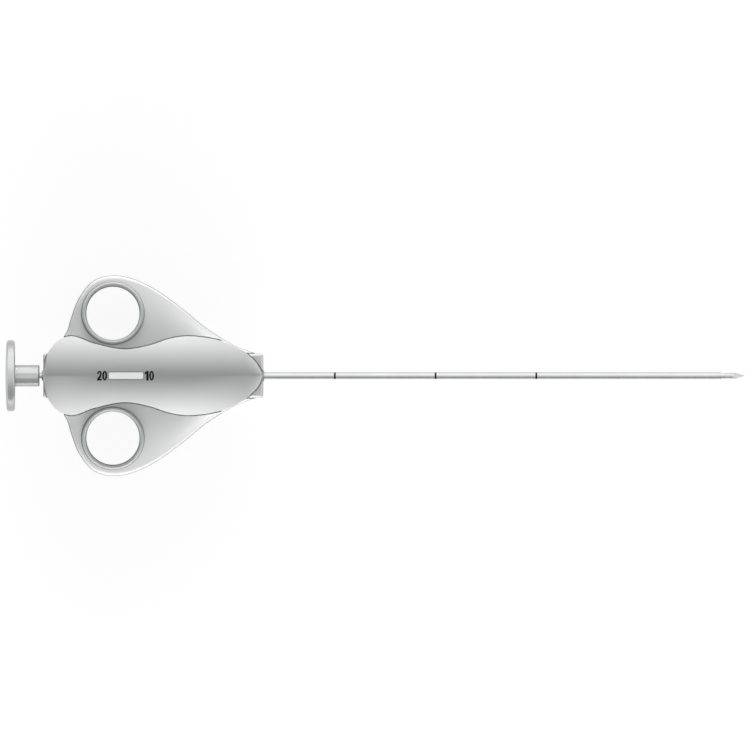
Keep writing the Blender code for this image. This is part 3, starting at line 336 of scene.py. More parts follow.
def booleaned(piece, others, operation="DIFFERENCE"):
    for other in others:
        change = piece.modifiers.new(other.name, "BOOLEAN")
        change.operation = operation
        change.solver = "EXACT"
        change.object = other
    made = settled(piece)
    for other in others:
        bpy.data.objects.remove(other)
    return made


def block(name, low, high, edge=0.0, steps=1):
    low, high = Vector(low), Vector(high)
    shape = bmesh.new()
    bmesh.ops.create_cube(shape, size=1.0)
    bmesh.ops.scale(shape, vec=high - low, verts=shape.verts)
    if edge:
        bmesh.ops.bevel(shape, geom=shape.edges[:], offset=edge, segments=steps, affect="EDGES",
                        profile=0.5)
    bmesh.ops.translate(shape, vec=spot(*((high + low) / 2)), verts=shape.verts)
    return fromBmesh(name, shape)


def bridge(shape, first, second):  # faces between two rings, either of which may be one point on the axis
    count = max(len(first), len(second))
    for i in range(count):
        j = (i + 1) % count
        if len(first) == 1:
            shape.faces.new((first[0], second[i], second[j]))
        elif len(second) == 1:
            shape.faces.new((first[i], second[0], first[j]))
        else:
            shape.faces.new((first[i], second[i], second[j], first[j]))


def turnedMesh(name, profile, steps=96):  # (station, radius) points, closed or with both ends on the axis
    shape = bmesh.new()
    rings = []
    for station, radius in profile:
        if radius == 0.0:
            rings.append([shape.verts.new(spot(station))])
            continue
        ring = []
        for i in range(steps):
            angle = 2 * math.pi * i / steps
            ring.append(shape.verts.new(spot(station, radius * math.cos(angle), radius * math.sin(angle))))
        rings.append(ring)
    closing = [] if profile[0][1] == 0.0 else rings[:1]
    for first, second in zip(rings, rings[1:] + closing):
        bridge(shape, first, second)
    return closedBody(name, shape)


def lofted(name, sections):  # closed body through loops of equal count
    shape = bmesh.new()
    rings = [[shape.verts.new(spot(*point)) for point in section] for section in sections]
    for first, second in zip(rings, rings[1:]):
        for i in range(len(first)):
            j = (i + 1) % len(first)
            shape.faces.new((first[i], first[j], second[j], second[i]))
    shape.faces.new(list(reversed(rings[0])))
    shape.faces.new(rings[-1])
    return closedBody(name, shape)


def ellipse(centreX, centreY, halfWidth, halfHeight, start, end, steps):  # or a part of it, in degrees
    points = []
    for i in range(steps + 1):
        angle = math.radians(start + (end - start) * i / steps)
        points.append((centreX + halfWidth * math.cos(angle), centreY + halfHeight * math.sin(angle)))
    return points


def eased(low, high, value):
    share = min(max((value - low) / (high - low), 0.0), 1.0)
    return share * share * (3.0 - 2.0 * share)


def smoothPath(points, count, finer=24):  # evenly spaced along a smooth curve through points in millimetres
    knots = [Vector((x * mm, y * mm, 0.0)) for x, y in points]
    fine = []
    for i in range(len(knots) - 1):
        start, end = knots[i], knots[i + 1]
        reach = (end - start).length
        leave = (end - knots[max(i - 1, 0)]).normalized() * reach
        arrive = (knots[min(i + 2, len(knots) - 1)] - start).normalized() * reach
        for step in range(finer):
            t = step / finer
            fine.append(start * (2 * t**3 - 3 * t**2 + 1) + leave * (t**3 - 2 * t**2 + t)
                        + end * (3 * t**2 - 2 * t**3) + arrive * (t**3 - t**2))
    fine.append(knots[-1])
    lengths = [0.0]
    for first, second in zip(fine, fine[1:]):
        lengths.append(lengths[-1] + (second - first).length)
    found = []
    index = 0
    for i in range(count):
        wanted = lengths[-1] * i / (count - 1)
        while index < len(fine) - 2 and lengths[index + 1] < wanted:
            index += 1
        share = (wanted - lengths[index]) / (lengths[index + 1] - lengths[index])
        found.append(fine[index].lerp(fine[index + 1], share))
    return found


def finished(piece, material, body, slot, *nodes):
    piece.data.materials.clear()
    piece.data.materials.append(material)
    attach(piece, body)
    if nodes:
        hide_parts(*nodes)


gap = 0.3 * mm  # clearance between pieces, and how far a cutter reaches past a face

# Covers. Their outline is here, because seats for it are let into the finger plate and barrel
barrelMm = barrelLength / mm
cover = dict(
    rearOutline=[(0.0, 3.0), (0.5, 5.4), (1.3, 8.0), (2.6, 10.6), (6.2, 14.6), (12.0, 16.4), (20.7, 13.5),
                 (33.0, 11.0), (43.1, 12.4)],
    frontOutline=[(38.3, 15.5), (30.3, 16.4), (18.4, 14.7), (8.5, 10.4), (4.9, 7.5), (2.4, 4.8), (0.9, 2.5),
                  (0.3, 0.8)],
    shellGrid=(150, 28), hollowGrid=(60, 10), leastHalf=0.2 * mm, endHeight=10.8 * mm, sharpFrom=24.0,
    upperHeight=12.0 * mm, upperRise=16.0 * mm, crownRadius=20.4 * mm, crownWall=1.2 * mm,
    ridgeLength=34.0 * mm, ridgeShare=(0.1, 0.6),
    seatDepth=0.8 * mm, seatGap=0.4 * mm, seatPoints=120, seatReach=9 * mm,
    noseSeat=74 * mm, noseSeatHalf=20 * mm, noseSeatHeight=8 * mm, undersideReach=120 * mm,
    lowerRise=12.0 * mm, lowerWall=1.7 * mm, landHalf=6.0 * mm, landShare=0.6,
    shoulderLow=5.4 * mm, shoulderHigh=9.3 * mm, narrow=9.5 * mm, wide=13.5 * mm, power=2.3,
    padLength=64.0 * mm, padHalf=6.5 * mm, padRelief=0.5 * mm, padCorner=3.0 * mm,
)
coverOutline = cover["rearOutline"] + [(barrelMm - back, side) for back, side in cover["frontOutline"]]


# Finger plate with its rings, in one with the trough of the barrel
grip = dict(
    rearOutline=[(6.6, 8.9), (7.9, 15.0), (10.0, 19.0), (11.4, 23.8), (14.6, 32.0), (20.7, 39.4),
                 (29.0, 41.67), (38.1, 40.0)],
    frontOutline=[(43.3, 35.0), (33.3, 27.7), (23.4, 19.7), (13.4, 13.5), (7.3, 10.8), (1.7, 8.9)],
    rootStart=9.4 * mm, rootEnd=3.1 * mm, rootSide=8.2 * mm,
    edgeHalf=1.8 * mm, rootHalf=4.4 * mm, stations=150, cutterStations=90,
    edgeSteps=(0.0, 0.03, 0.1, 0.22, 0.4, 0.65, 1.0), innerSteps=(0.12, 0.25, 0.4, 0.55, 0.7, 0.85, 1.0),
    ringStation=28.9 * mm, ringSpread=25.9 * mm, ringBore=11.0 * mm, lipWidth=2.3 * mm,
    lipProud=0.6 * mm, lipPower=3.0, ringSteps=128, lipSteps=24,
    barrelHalfHeight=8.2 * mm, wall=2.0 * mm, rearWall=2.6 * mm, frontWall=4.0 * mm,
    corner=1.0 * mm, cornerSteps=5, bushSeat=2.66 * mm, cutReach=40 * mm, sharpFrom=38.0,
)
plateOutline = grip["rearOutline"] + [(barrelMm - back, side) for back, side in grip["frontOutline"]]


def plateHalf(share):  # half the plate's thickness at a share of the way in from its edge
    return grip["edgeHalf"] + (grip["rootHalf"] - grip["edgeHalf"]) * (1.0 - (1.0 - share) ** 2)


def wingBody(name, hand, spare, stations):
    sections = []
    for i, edge in enumerate(smoothPath(plateOutline, stations)):
        share = i / (stations - 1)
        rootX = grip["rootStart"] + (barrelLength - grip["rootEnd"] - grip["rootStart"]) * share
        root = Vector((rootX, grip["rootSide"], 0.0))
        outward = (edge - root).normalized()
        rim = edge + outward * spare
        span = (rim - root).length
        half = grip["edgeHalf"] + spare
        rounding = min(half, span / 2)
        top = []
        for step in grip["edgeSteps"]:
            inset = rounding * step
            lift = math.sqrt(max(rounding**2 - (rounding - inset) ** 2, 0.0)) * half / rounding
            top.append((rim - outward * inset, lift))
        for step in grip["innerSteps"]:
            inset = rounding + (span - rounding) * step
            top.append((rim - outward * inset, plateHalf(step) + spare))
        loop = [(place.x, hand * place.y, lift) for place, lift in reversed(top)]
        loop += [(place.x, hand * place.y, -lift) for place, lift in top[1:]]
        sections.append(loop)
    return lofted(name, sections)


def sunkWing(name, hand, upward, spare):  # a cutter: the wing as deep as the covers' seat
    wing = wingBody(name, hand, spare, grip["cutterStations"])
    wing.data.transform(Matrix.Translation((0.0, 0.0, -upward * cover["seatDepth"])))
    return wing


def squared(value):
    return math.copysign(abs(value) ** (2.0 / grip["lipPower"]), value)


def ringLip(name, hand):  # as proud of the plate all the way round
    middle = grip["ringBore"] + grip["lipWidth"] / 2
    reach = max(side for _, side in plateOutline) * mm
    shape = bmesh.new()
    rings = []
    for i in range(grip["ringSteps"]):
        turn = 2 * math.pi * i / grip["ringSteps"]
        side = grip["ringSpread"] + middle * math.sin(turn)
        halfHeight = plateHalf((reach - side) / (reach - grip["rootSide"])) + grip["lipProud"]
        ring = []
        for j in range(grip["lipSteps"]):
            angle = 2 * math.pi * j / grip["lipSteps"]
            radius = middle + grip["lipWidth"] / 2 * squared(math.cos(angle))
            place = spot(
                grip["ringStation"] + radius * math.cos(turn),
                hand * (grip["ringSpread"] + radius * math.sin(turn)),
                halfHeight * squared(math.sin(angle)),
            )
            ring.append(shape.verts.new(place))
        rings.append(ring)
    for first, second in zip(rings, rings[1:] + rings[:1]):
        bridge(shape, first, second)
    return closedBody(name, shape)


def ringHole(name, hand):  # cut to the middle of the lip, which then closes the edge
    radius = grip["ringBore"] + grip["lipWidth"] / 2
    shape = bmesh.new()
    bmesh.ops.create_cone(shape, cap_ends=True, segments=grip["ringSteps"], radius1=radius, radius2=radius,
                          depth=2 * grip["cutReach"])
    middle = spot(grip["ringStation"], hand * grip["ringSpread"])
    bmesh.ops.translate(shape, vec=middle, verts=shape.verts)
    return fromBmesh(name, shape)


def barrelBody(name, spare=0.0, sunk=0.0):
    height = grip["barrelHalfHeight"] + spare - sunk
    side = barrelHalf + spare
    return block(name, (-spare, -side, -height), (barrelLength + spare, side, height),
                 grip["corner"], grip["cornerSteps"])


def barrelRoom(name):
    side = barrelHalf - grip["wall"]
    height = grip["barrelHalfHeight"] - grip["wall"]
    return block(name, (grip["rearWall"], -side, -height), (barrelLength - grip["frontWall"], side, height))


def bushSeats(name):
    radius = grip["bushSeat"]
    seats = []
    for end, rear, front in (("Rear", -gap, grip["rearWall"] + gap),
                             ("Front", barrelLength - grip["frontWall"] - gap, barrelLength + gap)):
        seats.append(turnedMesh(name + end, [(front, 0.0), (front, radius), (rear, radius), (rear, 0.0)], 64))
    return seats


def coverSeat(name, low, high):  # the covers' outline, a little wider, to be sunk in what carries them
    rim = smoothPath(coverOutline, cover["seatPoints"])
    half = []
    for before, here, after in zip(rim[:1] + rim[:-1], rim, rim[1:] + rim[-1:]):
        along = (after - before).normalized()
        half.append((here.x - along.y * cover["seatGap"], here.y + along.x * cover["seatGap"]))
    loops = []
    for height in (low, high):
        loop = [(station, side, height) for station, side in half]
        loop += [(station, -side, height) for station, side in reversed(half)]
        loops.append(loop)
    return lofted(name, loops)


def barrelSeat(name, upward):
    floor = grip["barrelHalfHeight"] - cover["seatDepth"]
    return coverSeat(name, *sorted((upward * floor, upward * cover["seatReach"])))


def seatCuts(hand, upward):  # what lies in the seat above the sunk face of one wing
    low, high = sorted((0.0, upward * cover["noseSeatHeight"]))
    nose = block("noseSeat", (cover["noseSeat"], -cover["noseSeatHalf"], low),
                 (barrelLength + cover["seatReach"], cover["noseSeatHalf"], high))
    seat = coverSeat("coverSeat", *sorted((0.0, upward * cover["seatReach"])))
    return booleaned(booleaned(seat, [nose], "UNION"), [sunkWing("sunkWing", hand, upward, 0.0)])


def makeGrip():
    far = grip["cutReach"]
    body = booleaned(barrelBody("fingerGrip"), [
        block("aboveParting", (-far, -far, -gap / 2), (barrelLength + far, far, far)),
        barrelRoom("troughRoom"),
        barrelSeat("troughCoverSeat", -1.0),
        *bushSeats("troughSeat"),
    ])
    for hand in (1.0, -1.0):
        plate = booleaned(wingBody("plate", hand, 0.0, grip["stations"]), [
            ringHole("hole", hand),
            block("capRoom", (-far, -barrelHalf - gap, -gap / 2),
                  (barrelLength + far, barrelHalf + gap, far)),
            seatCuts(hand, 1.0),
            seatCuts(hand, -1.0),
        ])
        body = booleaned(body, [plate, ringLip("lip", hand)], "UNION")
    body.name = "fingerGripMoulding"
    smoothed(body, grip["sharpFrom"])
    finished(body, gripPlastic, "housing", "grip_plastic", "finger_grip_body")


makeGrip()
print("finger grip made")


# Cap of the barrel, with a slit that the flag's stalk runs in
capSlit = dict(rear=7.7 * mm, front=52.5 * mm, inner=2.4 * mm, outer=4.8 * mm, floor=5.9 * mm)


def makeBarrelCap():
    far = grip["cutReach"]
    cap = booleaned(barrelBody("barrelCapMoulding"), [
        block("belowParting", (-far, -far, -far), (barrelLength + far, far, gap / 2)),
        barrelRoom("capRoom"),
        barrelSeat("capCoverSeat", 1.0),
        block("flagSlit", (capSlit["rear"], capSlit["inner"], capSlit["floor"]),
              (capSlit["front"], capSlit["outer"], far)),
        *bushSeats("capSeat"),
    ])
    finished(smoothed(cap), barrelPlastic, "housing", "barrel_plastic", "barrel_cap")


makeBarrelCap()
print("barrel cap made")


# Throw window, and the upper and lower cover
window = dict(rear=27.2 * mm, front=41.4 * mm, width=2.6 * mm, ledge=0.4 * mm, corner=0.5 * mm,
              lens=0.6 * mm, recess=0.2 * mm, boreFloor=8.2 * mm, cutTop=15.0 * mm)


def crestHeight(station, full, rise):  # lower at both ends
    rear = eased(-rise / 3, rise, station)
    front = eased(-rise / 3, rise, barrelLength - station)
    return cover["endHeight"] + (full - cover["endHeight"]) * rear * front


def crownedSection(station, halfWidth, inset, steps):  # evenly crowned, with an uneven ridge at both ends
    crest = crestHeight(station, cover["upperHeight"], cover["upperRise"])
    width = max(halfWidth - inset, cover["leastHalf"])
    fall = max(width**2 / (2 * cover["crownRadius"]), crest - cover["shoulderHigh"])
    fading = 1.0 - eased(0.0, cover["ridgeLength"], min(station, barrelLength - station))
    halves = []
    for uneven in cover["ridgeShare"]:
        ridge = 0.0 if inset else uneven * fading
        half = []
        for i in range(steps + 1):
            share = i / steps
            half.append((width * share, crest - inset - fall * ((1.0 - ridge) * share**2 + ridge * share)))
        halves.append(half)
    return halves


def deepSection(station, halfWidth, inset, steps):  # flat below and full at the sides
    crest = crestHeight(station, axisHeight - cover["padRelief"], cover["lowerRise"]) - inset
    width = max(halfWidth - inset, cover["leastHalf"])
    low, high = cover["shoulderLow"], cover["shoulderHigh"]
    shoulder = high + (low - high) * eased(cover["narrow"], cover["wide"], halfWidth)
    shoulder = min(shoulder, crest) - inset
    level = min(cover["landHalf"], width * cover["landShare"])
    half = []
    for i in range(steps + 1):
        share = math.sin(math.pi / 2 * i / steps)
        drop = 1.0 - (1.0 - share ** cover["power"]) ** (1.0 / cover["power"])
        half.append((level + (width - level) * share, crest - (crest - shoulder) * drop))
    return half, half


def coverBody(name, section, upward, inset=0.0):
    sections = []
    stations, steps = cover["hollowGrid"] if inset else cover["shellGrid"]
    for edge in smoothPath(coverOutline, stations):
        station = min(max(edge.x, inset), barrelLength - inset)
        left, right = section(edge.x, edge.y, inset, steps)
        loop = [(station, side, upward * height) for side, height in left]
        loop.append((station, left[-1][0], 0.0))
        loop.append((station, -left[-1][0], 0.0))
        loop += [(station, -side, upward * height) for side, height in reversed(right) if side > 0.0]
        sections.append(loop)
    return lofted(name, sections)


def roundedPrism(name, rear, front, half, low, high, corner, steps=10):
    shape = bmesh.new()
    bmesh.ops.create_cube(shape, size=1.0)
    bmesh.ops.scale(shape, vec=Vector((front - rear, 2 * half, high - low)), verts=shape.verts)
    corners = [e for e in shape.edges if abs(e.verts[0].co.z - e.verts[1].co.z) > gap]
    bmesh.ops.bevel(shape, geom=corners, offset=corner, segments=steps, affect="EDGES", profile=0.5)
    bmesh.ops.translate(shape, vec=spot((front + rear) / 2, 0.0, (low + high) / 2), verts=shape.verts)
    return fromBmesh(name, shape)


def windowPrism(name, grow, low, high):
    return roundedPrism(name, window["rear"] - grow, window["front"] + grow, window["width"] / 2 + grow,
                        low, high, window["corner"] + grow)


def plateSideRoom(name, upward):  # cuts the cover level inside the sunk edge of the plate
    far = cover["undersideReach"]
    low, high = sorted((upward * (grip["edgeHalf"] - cover["seatDepth"]), -far * upward))
    return block(name, (-far, -far, low), (2 * far, far, high))


def coverRooms(name, section, upward, wall):  # the level cut comes first: cut later, it loses the shell
    return [
        plateSideRoom(name + "Underside", upward),
        coverBody(name + "Hollow", section, upward, wall),
        barrelBody(name + "BarrelRoom", gap, cover["seatDepth"]),
        sunkWing(name + "LeftWingRoom", 1.0, upward, gap),
        sunkWing(name + "RightWingRoom", -1.0, upward, gap),
    ]


def makeUpperCover():
    seat = cover["upperHeight"] - window["recess"] - window["lens"] - gap
    shell = booleaned(coverBody("upperCoverShell", crownedSection, 1.0), [
        *coverRooms("upper", crownedSection, 1.0, cover["crownWall"]),
        windowPrism("windowBore", 0.0, window["boreFloor"], window["cutTop"]),
        windowPrism("windowSeat", window["ledge"], seat, window["cutTop"]),
    ])
    smoothed(shell, cover["sharpFrom"])
    finished(shell, coverPlastic, "housing", "cover_plastic", "upper_cover")


def makeLowerCover():
    deep = axisHeight - cover["padRelief"]
    middle = -rearFace
    pad = roundedPrism("restPad", middle - cover["padLength"] / 2, middle + cover["padLength"] / 2,
                       cover["padHalf"], -axisHeight, -deep + cover["lowerWall"] / 2, cover["padCorner"])
    shell = booleaned(coverBody("lowerCoverShell", deepSection, -1.0), [pad], "UNION")
    shell = booleaned(shell, coverRooms("lower", deepSection, -1.0, cover["lowerWall"]))
    smoothed(shell, cover["sharpFrom"])
    finished(shell, coverPlastic, "housing", "cover_plastic", "lower_cover")


def makeLens():
    top = cover["upperHeight"] - window["recess"]
    lens = windowPrism("windowGlazing", window["ledge"] - gap, top - window["lens"], top)
    finished(smoothed(lens), lensPlastic, "housing", "clear_plastic", "window_lens")


makeUpperCover()
makeLowerCover()
makeLens()
print("covers and lens made")


# Plunger: thumb disc and grooved boss
plungerSizes = dict(
    bossFront=-1.6 * mm, bossLength=10.1 * mm, bossRadius=4.5 * mm, bossEdge=0.6 * mm,
    discRadius=14.8 * mm, discThickness=3.6 * mm, discEdge=1.2 * mm, dome=0.5 * mm, domeSteps=12,
    grooveWidth=1.9 * mm, grooveDepth=0.6 * mm, grooveEnd=1.0 * mm, grooveReach=1.2,
    socket=8.0 * mm, socketRadius=1.21 * mm, steps=160, sharpFrom=35.0,
)


def makePlunger():
    p = plungerSizes
    bossFront, bossRadius, bossEdge = p["bossFront"], p["bossRadius"], p["bossEdge"]
    discFront = bossFront - p["bossLength"]
    discRear = discFront - p["discThickness"]
    edge = p["discEdge"]
    rim = p["discRadius"] - edge
    profile = [(bossFront, 0.0)]
    profile += ellipse(bossFront - bossEdge, bossRadius - bossEdge, bossEdge, bossEdge, 0, 90, 6)
    profile.append((discFront, bossRadius))
    profile += ellipse(discFront - edge, rim, edge, edge, 0, 90, 10)
    profile += ellipse(discRear + edge, rim, edge, edge, 90, 180, 10)
    for i in range(1, p["domeSteps"]):
        share = i / p["domeSteps"]
        profile.append((discRear - p["dome"] * (1 - (1 - share) ** 2), rim * (1 - share)))
    profile.append((discRear - p["dome"], 0.0))
    front, rear = bossFront + gap, bossFront - p["socket"]
    socket = p["socketRadius"]
    cuts = [turnedMesh("socket", [(front, 0.0), (front, socket), (rear, socket), (rear, 0.0)], 48)]
    half = p["grooveWidth"] / 2
    for upward in (1.0, -1.0):
        low, high = sorted((upward * (bossRadius - p["grooveDepth"]), upward * bossRadius * p["grooveReach"]))
        corner = (bossFront - p["grooveEnd"], half, high)
        cuts.append(block("groove", (discFront + gap, -half, low), corner))
    body = booleaned(turnedMesh("plungerMoulding", profile, p["steps"]), cuts)
    smoothed(body, p["sharpFrom"])
    finished(body, plungerPlastic, "plunger_assembly", "plunger_plastic", "plunger")


makePlunger()
print("plunger made")


# Bushes
bushes = dict(
    radius=2.6 * mm, steps=72, rearLength=2.6 * mm, rearNose=0.65 * mm, rearNoseRadius=2.2 * mm,
    rearNoseCurve=((0.7, 0.97), (1.0, 0.8)), rearBore=1.23 * mm,
    frontLength=4.0 * mm, lip=0.4 * mm, lipRadius=2.35 * mm, frontBore=1.465 * mm, edge=0.15 * mm,
)


def makeBushes():
    b = bushes
    rearNose = [(-along * b["rearNose"], wide * b["rearNoseRadius"]) for along, wide in b["rearNoseCurve"]]
    rear = turnedMesh("rearBushTurned", [
        (b["rearLength"], b["rearBore"]), (b["rearLength"], b["radius"]), (0.0, b["radius"]),
        (0.0, b["rearNoseRadius"]), *rearNose, (-b["rearNose"], b["rearBore"])], b["steps"])
    finished(smoothed(rear), bushSteel, "housing", "bush_steel", "rear_bush")
    face, back = barrelLength, barrelLength - b["frontLength"]
    lipFace, lipRadius = face + b["lip"], b["lipRadius"]
    nose = turnedMesh("noseBushTurned", [
        (lipFace, b["frontBore"]), (lipFace, lipRadius - b["edge"]), (lipFace - b["edge"], lipRadius),
        (face, lipRadius), (face, b["radius"]), (back, b["radius"]), (back, b["frontBore"])], b["steps"])
    finished(smoothed(nose), bushSteel, "housing", "bush_steel", "nose_bush")


makeBushes()
print("bushes made")


# Needle: cannula and stylet, with the depth bands printed on the cannula
needle = dict(
    cannulaRadius=1.385 * mm, bore=1.235 * mm, bevel=4.3 * mm, bevelLift=1.02, cannulaSharp=30.0,
    styletRadius=1.15 * mm, facet=5.4 * mm, facetDepth=1.8 * mm, grind=3.7 * mm, styletSharp=25.0,
    notchStart=9.4 * mm, notchLength=17.0 * mm, notchDepth=1.1 * mm, notchRamp=1.6 * mm, slab=16 * mm,
    bandFirst=29.7 * mm, bandStep=41.8 * mm, bandCount=3, bandWidth=0.75 * mm, bandHeight=0.012 * mm,
    bandThickness=0.008 * mm, bandSides=96,
)


def slabAt(name, corner, normal):  # a cutter that lies outward of a plane through corner
    size = needle["slab"]
    shape = bmesh.new()
    bmesh.ops.create_cube(shape, size=size)
    bmesh.ops.translate(shape, vec=(size / 2, 0.0, 0.0), verts=shape.verts)
    turn = Vector((1.0, 0.0, 0.0)).rotation_difference(normal.normalized())
    placed = Matrix.Translation(corner) @ turn.to_matrix().to_4x4()
    bmesh.ops.transform(shape, matrix=placed, verts=shape.verts)
    return fromBmesh(name, shape)


def makeCannula():
    outer, inner = needle["cannulaRadius"], needle["bore"]
    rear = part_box("cannula")[0].x - rearFace
    front = cannulaTip - rearFace
    tube = turnedMesh("cannulaTube", [(front, inner), (front, outer), (rear, outer), (rear, inner)])
    corner = spot(front, 0.0, needle["bevelLift"] * outer)
    cuts = []
    for hand in (1.0, -1.0):
        back = Vector((needle["bevel"], 0.0, 2 * outer))
        aside = Vector((needle["bevel"], hand * 2 * outer, 0.0))
        normal = back.cross(aside)
        cuts.append(slabAt("cannulaGrind", corner, normal if normal.x > 0 else -normal))
    tube = smoothed(booleaned(tube, cuts), needle["cannulaSharp"])
    finished(tube, needleSteel, "cannula_assembly", "needle_steel", "cannula")


def makeStylet():
    radius = needle["styletRadius"]
    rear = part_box("stylet")[0].x - rearFace
    tip = needleTip - rearFace
    solid = turnedMesh("styletNeedle", [(tip, 0.0), (tip, radius), (rear, radius), (rear, 0.0)])
    slope = math.atan2(needle["facetDepth"], needle["facet"])
    up = Vector((math.sin(slope), 0.0, math.cos(slope)))
    cuts = [slabAt("styletFacet", spot(tip - needle["facet"], 0.0, radius), up)]
    slant = math.atan2(radius, needle["grind"])
    for hand in (1.0, -1.0):
        out = Vector((math.sin(slant), hand * math.cos(slant), 0.0))
        cuts.append(slabAt("styletGrind", spot(tip - needle["grind"], hand * radius), out))
    floor = radius - needle["notchDepth"]
    over = 2 * radius
    front = tip - needle["notchStart"]
    back = front - needle["notchLength"]
    ramp = needle["notchRamp"]
    sections = []
    for side in (-over, over):
        sections.append([(back, side, floor), (front - ramp, side, floor), (front, side, over),
                         (back - ramp, side, over)])
    cuts.append(lofted("notch", sections))
    solid = smoothed(booleaned(solid, cuts), needle["styletSharp"])
    finished(solid, needleSteel, "plunger_assembly", "needle_steel", "stylet")


makeCannula()
makeStylet()
print("cannula and stylet made")


def geometryTree(name, inputs):  # inputs are the names of the sockets, with their kinds
    tree = bpy.data.node_groups.new(name, "GeometryNodeTree")
    tree.interface.new_socket("Geometry", in_out="INPUT", socket_type="NodeSocketGeometry")
    tree.interface.new_socket("Geometry", in_out="OUTPUT", socket_type="NodeSocketGeometry")
    for label, kind in inputs.items():
        tree.interface.new_socket(label, in_out="INPUT", socket_type="NodeSocket" + kind)
    return tree, tree.nodes.new("NodeGroupInput").outputs


def closeTree(tree, shape, material):  # ends a tree in real geometry with its material
    real = node(tree, "GeometryNodeRealizeInstances", {"Geometry": shape}).outputs["Geometry"]
    coated = node(tree, "GeometryNodeSetMaterial", {"Geometry": real, "Material": material})
    node(tree, "NodeGroupOutput", {"Geometry": coated.outputs["Geometry"]})


def grownByNodes(name, tree, values):  # a mesh made by a node tree with its inputs set, as a plain object
    holder = bpy.data.objects.new(name, bpy.data.meshes.new(name))
    bpy.context.scene.collection.objects.link(holder)
    grower = holder.modifiers.new("grow", "NODES")
    grower.node_group = tree
    for item in tree.interface.items_tree:
        if item.item_type == "SOCKET" and item.in_out == "INPUT" and item.name in values:
            grower[item.identifier] = values[item.name]
    return settled(holder)


def makeDepthBands():
    tree, given = geometryTree("depthBandTree", dict(
        Radius="Float", Width="Float", First="Float", Step="Float", Count="Int", Ink="Material"))
    start = node(tree, "ShaderNodeCombineXYZ", {"X": given["First"]}).outputs["Vector"]
    step = node(tree, "ShaderNodeCombineXYZ", {"X": given["Step"]}).outputs["Vector"]
    line = node(tree, "GeometryNodeMeshLine", {
        "Count": given["Count"], "Start Location": start, "Offset": step})
    sizes = {"Vertices": needle["bandSides"], "Radius": given["Radius"], "Depth": given["Width"]}
    band = node(tree, "GeometryNodeMeshCylinder", sizes, fill_type="NONE")
    laid = node(tree, "GeometryNodeInstanceOnPoints", {
        "Points": line.outputs["Mesh"], "Instance": band.outputs["Mesh"],
        "Rotation": (0.0, math.radians(90.0), 0.0)})
    closeTree(tree, laid.outputs["Instances"], given["Ink"])
    bands = grownByNodes("depthBands", tree, {
        "Radius": needle["cannulaRadius"] + needle["bandHeight"], "Width": needle["bandWidth"],
        "First": noseFace + needle["bandFirst"], "Step": needle["bandStep"], "Count": needle["bandCount"],
        "Ink": bandInk,
    })
    bands.data.transform(Matrix.Translation((0.0, 0.0, axisHeight)))
    thicken = bands.modifiers.new("ink", "SOLIDIFY")
    thicken.thickness = needle["bandThickness"]
    thicken.offset = -1.0
    finished(smoothed(settled(bands)), bandInk, "cannula_assembly", "needle_steel")


makeDepthBands()
print("depth bands made")


# Drive spring: a real coil in place of the coarse one
spring = dict(
    radius=4.1 * mm, wire=0.45 * mm, wireSides=16, turns=11.0, pointsPerTurn=40,
    deadTurns=1.25, deadPitch=2.1, travel=20 * mm, sharpFrom=60.0,
)


def makeDriveSpring():
    tree, given = geometryTree("driveSpringTree", {
        "Coil Radius": "Float", "Wire Radius": "Float", "Turns": "Float", "Length": "Float",
        "Steel": "Material"})
    helix = node(tree, "GeometryNodeCurveSpiral", {
        "Resolution": spring["pointsPerTurn"], "Rotations": given["Turns"], "Height": given["Length"],
        "Start Radius": given["Coil Radius"], "End Radius": given["Coil Radius"]})
    wire = node(tree, "GeometryNodeCurvePrimitiveCircle", {
        "Resolution": spring["wireSides"], "Radius": given["Wire Radius"]})
    swept = node(tree, "GeometryNodeCurveToMesh", {
        "Curve": helix.outputs["Curve"], "Profile Curve": wire.outputs["Curve"], "Fill Caps": True})
    closeTree(tree, swept.outputs["Mesh"], given["Steel"])

    low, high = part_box("drive_spring")
    length = high.x - low.x - 2 * spring["wire"]
    coil = grownByNodes("driveCoil", tree, {
        "Coil Radius": spring["radius"], "Wire Radius": spring["wire"], "Turns": spring["turns"],
        "Length": length, "Steel": springSteel,
    })
    # Closed end turns: the pitch is even only between them
    dead = spring["deadTurns"] / spring["turns"]
    flat = spring["deadTurns"] * spring["deadPitch"] * spring["wire"] / length
    for vertex in coil.data.vertices:
        share = vertex.co.z / length
        inner = min(max((share - dead) / (1 - 2 * dead), 0.0), 1.0)
        ends = min(share, dead) / dead + max(share - (1 - dead), 0.0) / dead
        vertex.co.z = length * (flat * ends + (1 - 2 * flat) * inner)
    turn = Matrix.Rotation(math.radians(90.0), 4, "Y")
    coil.data.transform(Matrix.Translation((low.x + spring["wire"], 0.0, axisHeight)) @ turn)
    smoothed(coil, spring["sharpFrom"])
    finished(coil, springSteel, "housing", "spring_steel", "drive_spring")
    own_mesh(coil)


makeDriveSpring()
print("drive spring made")


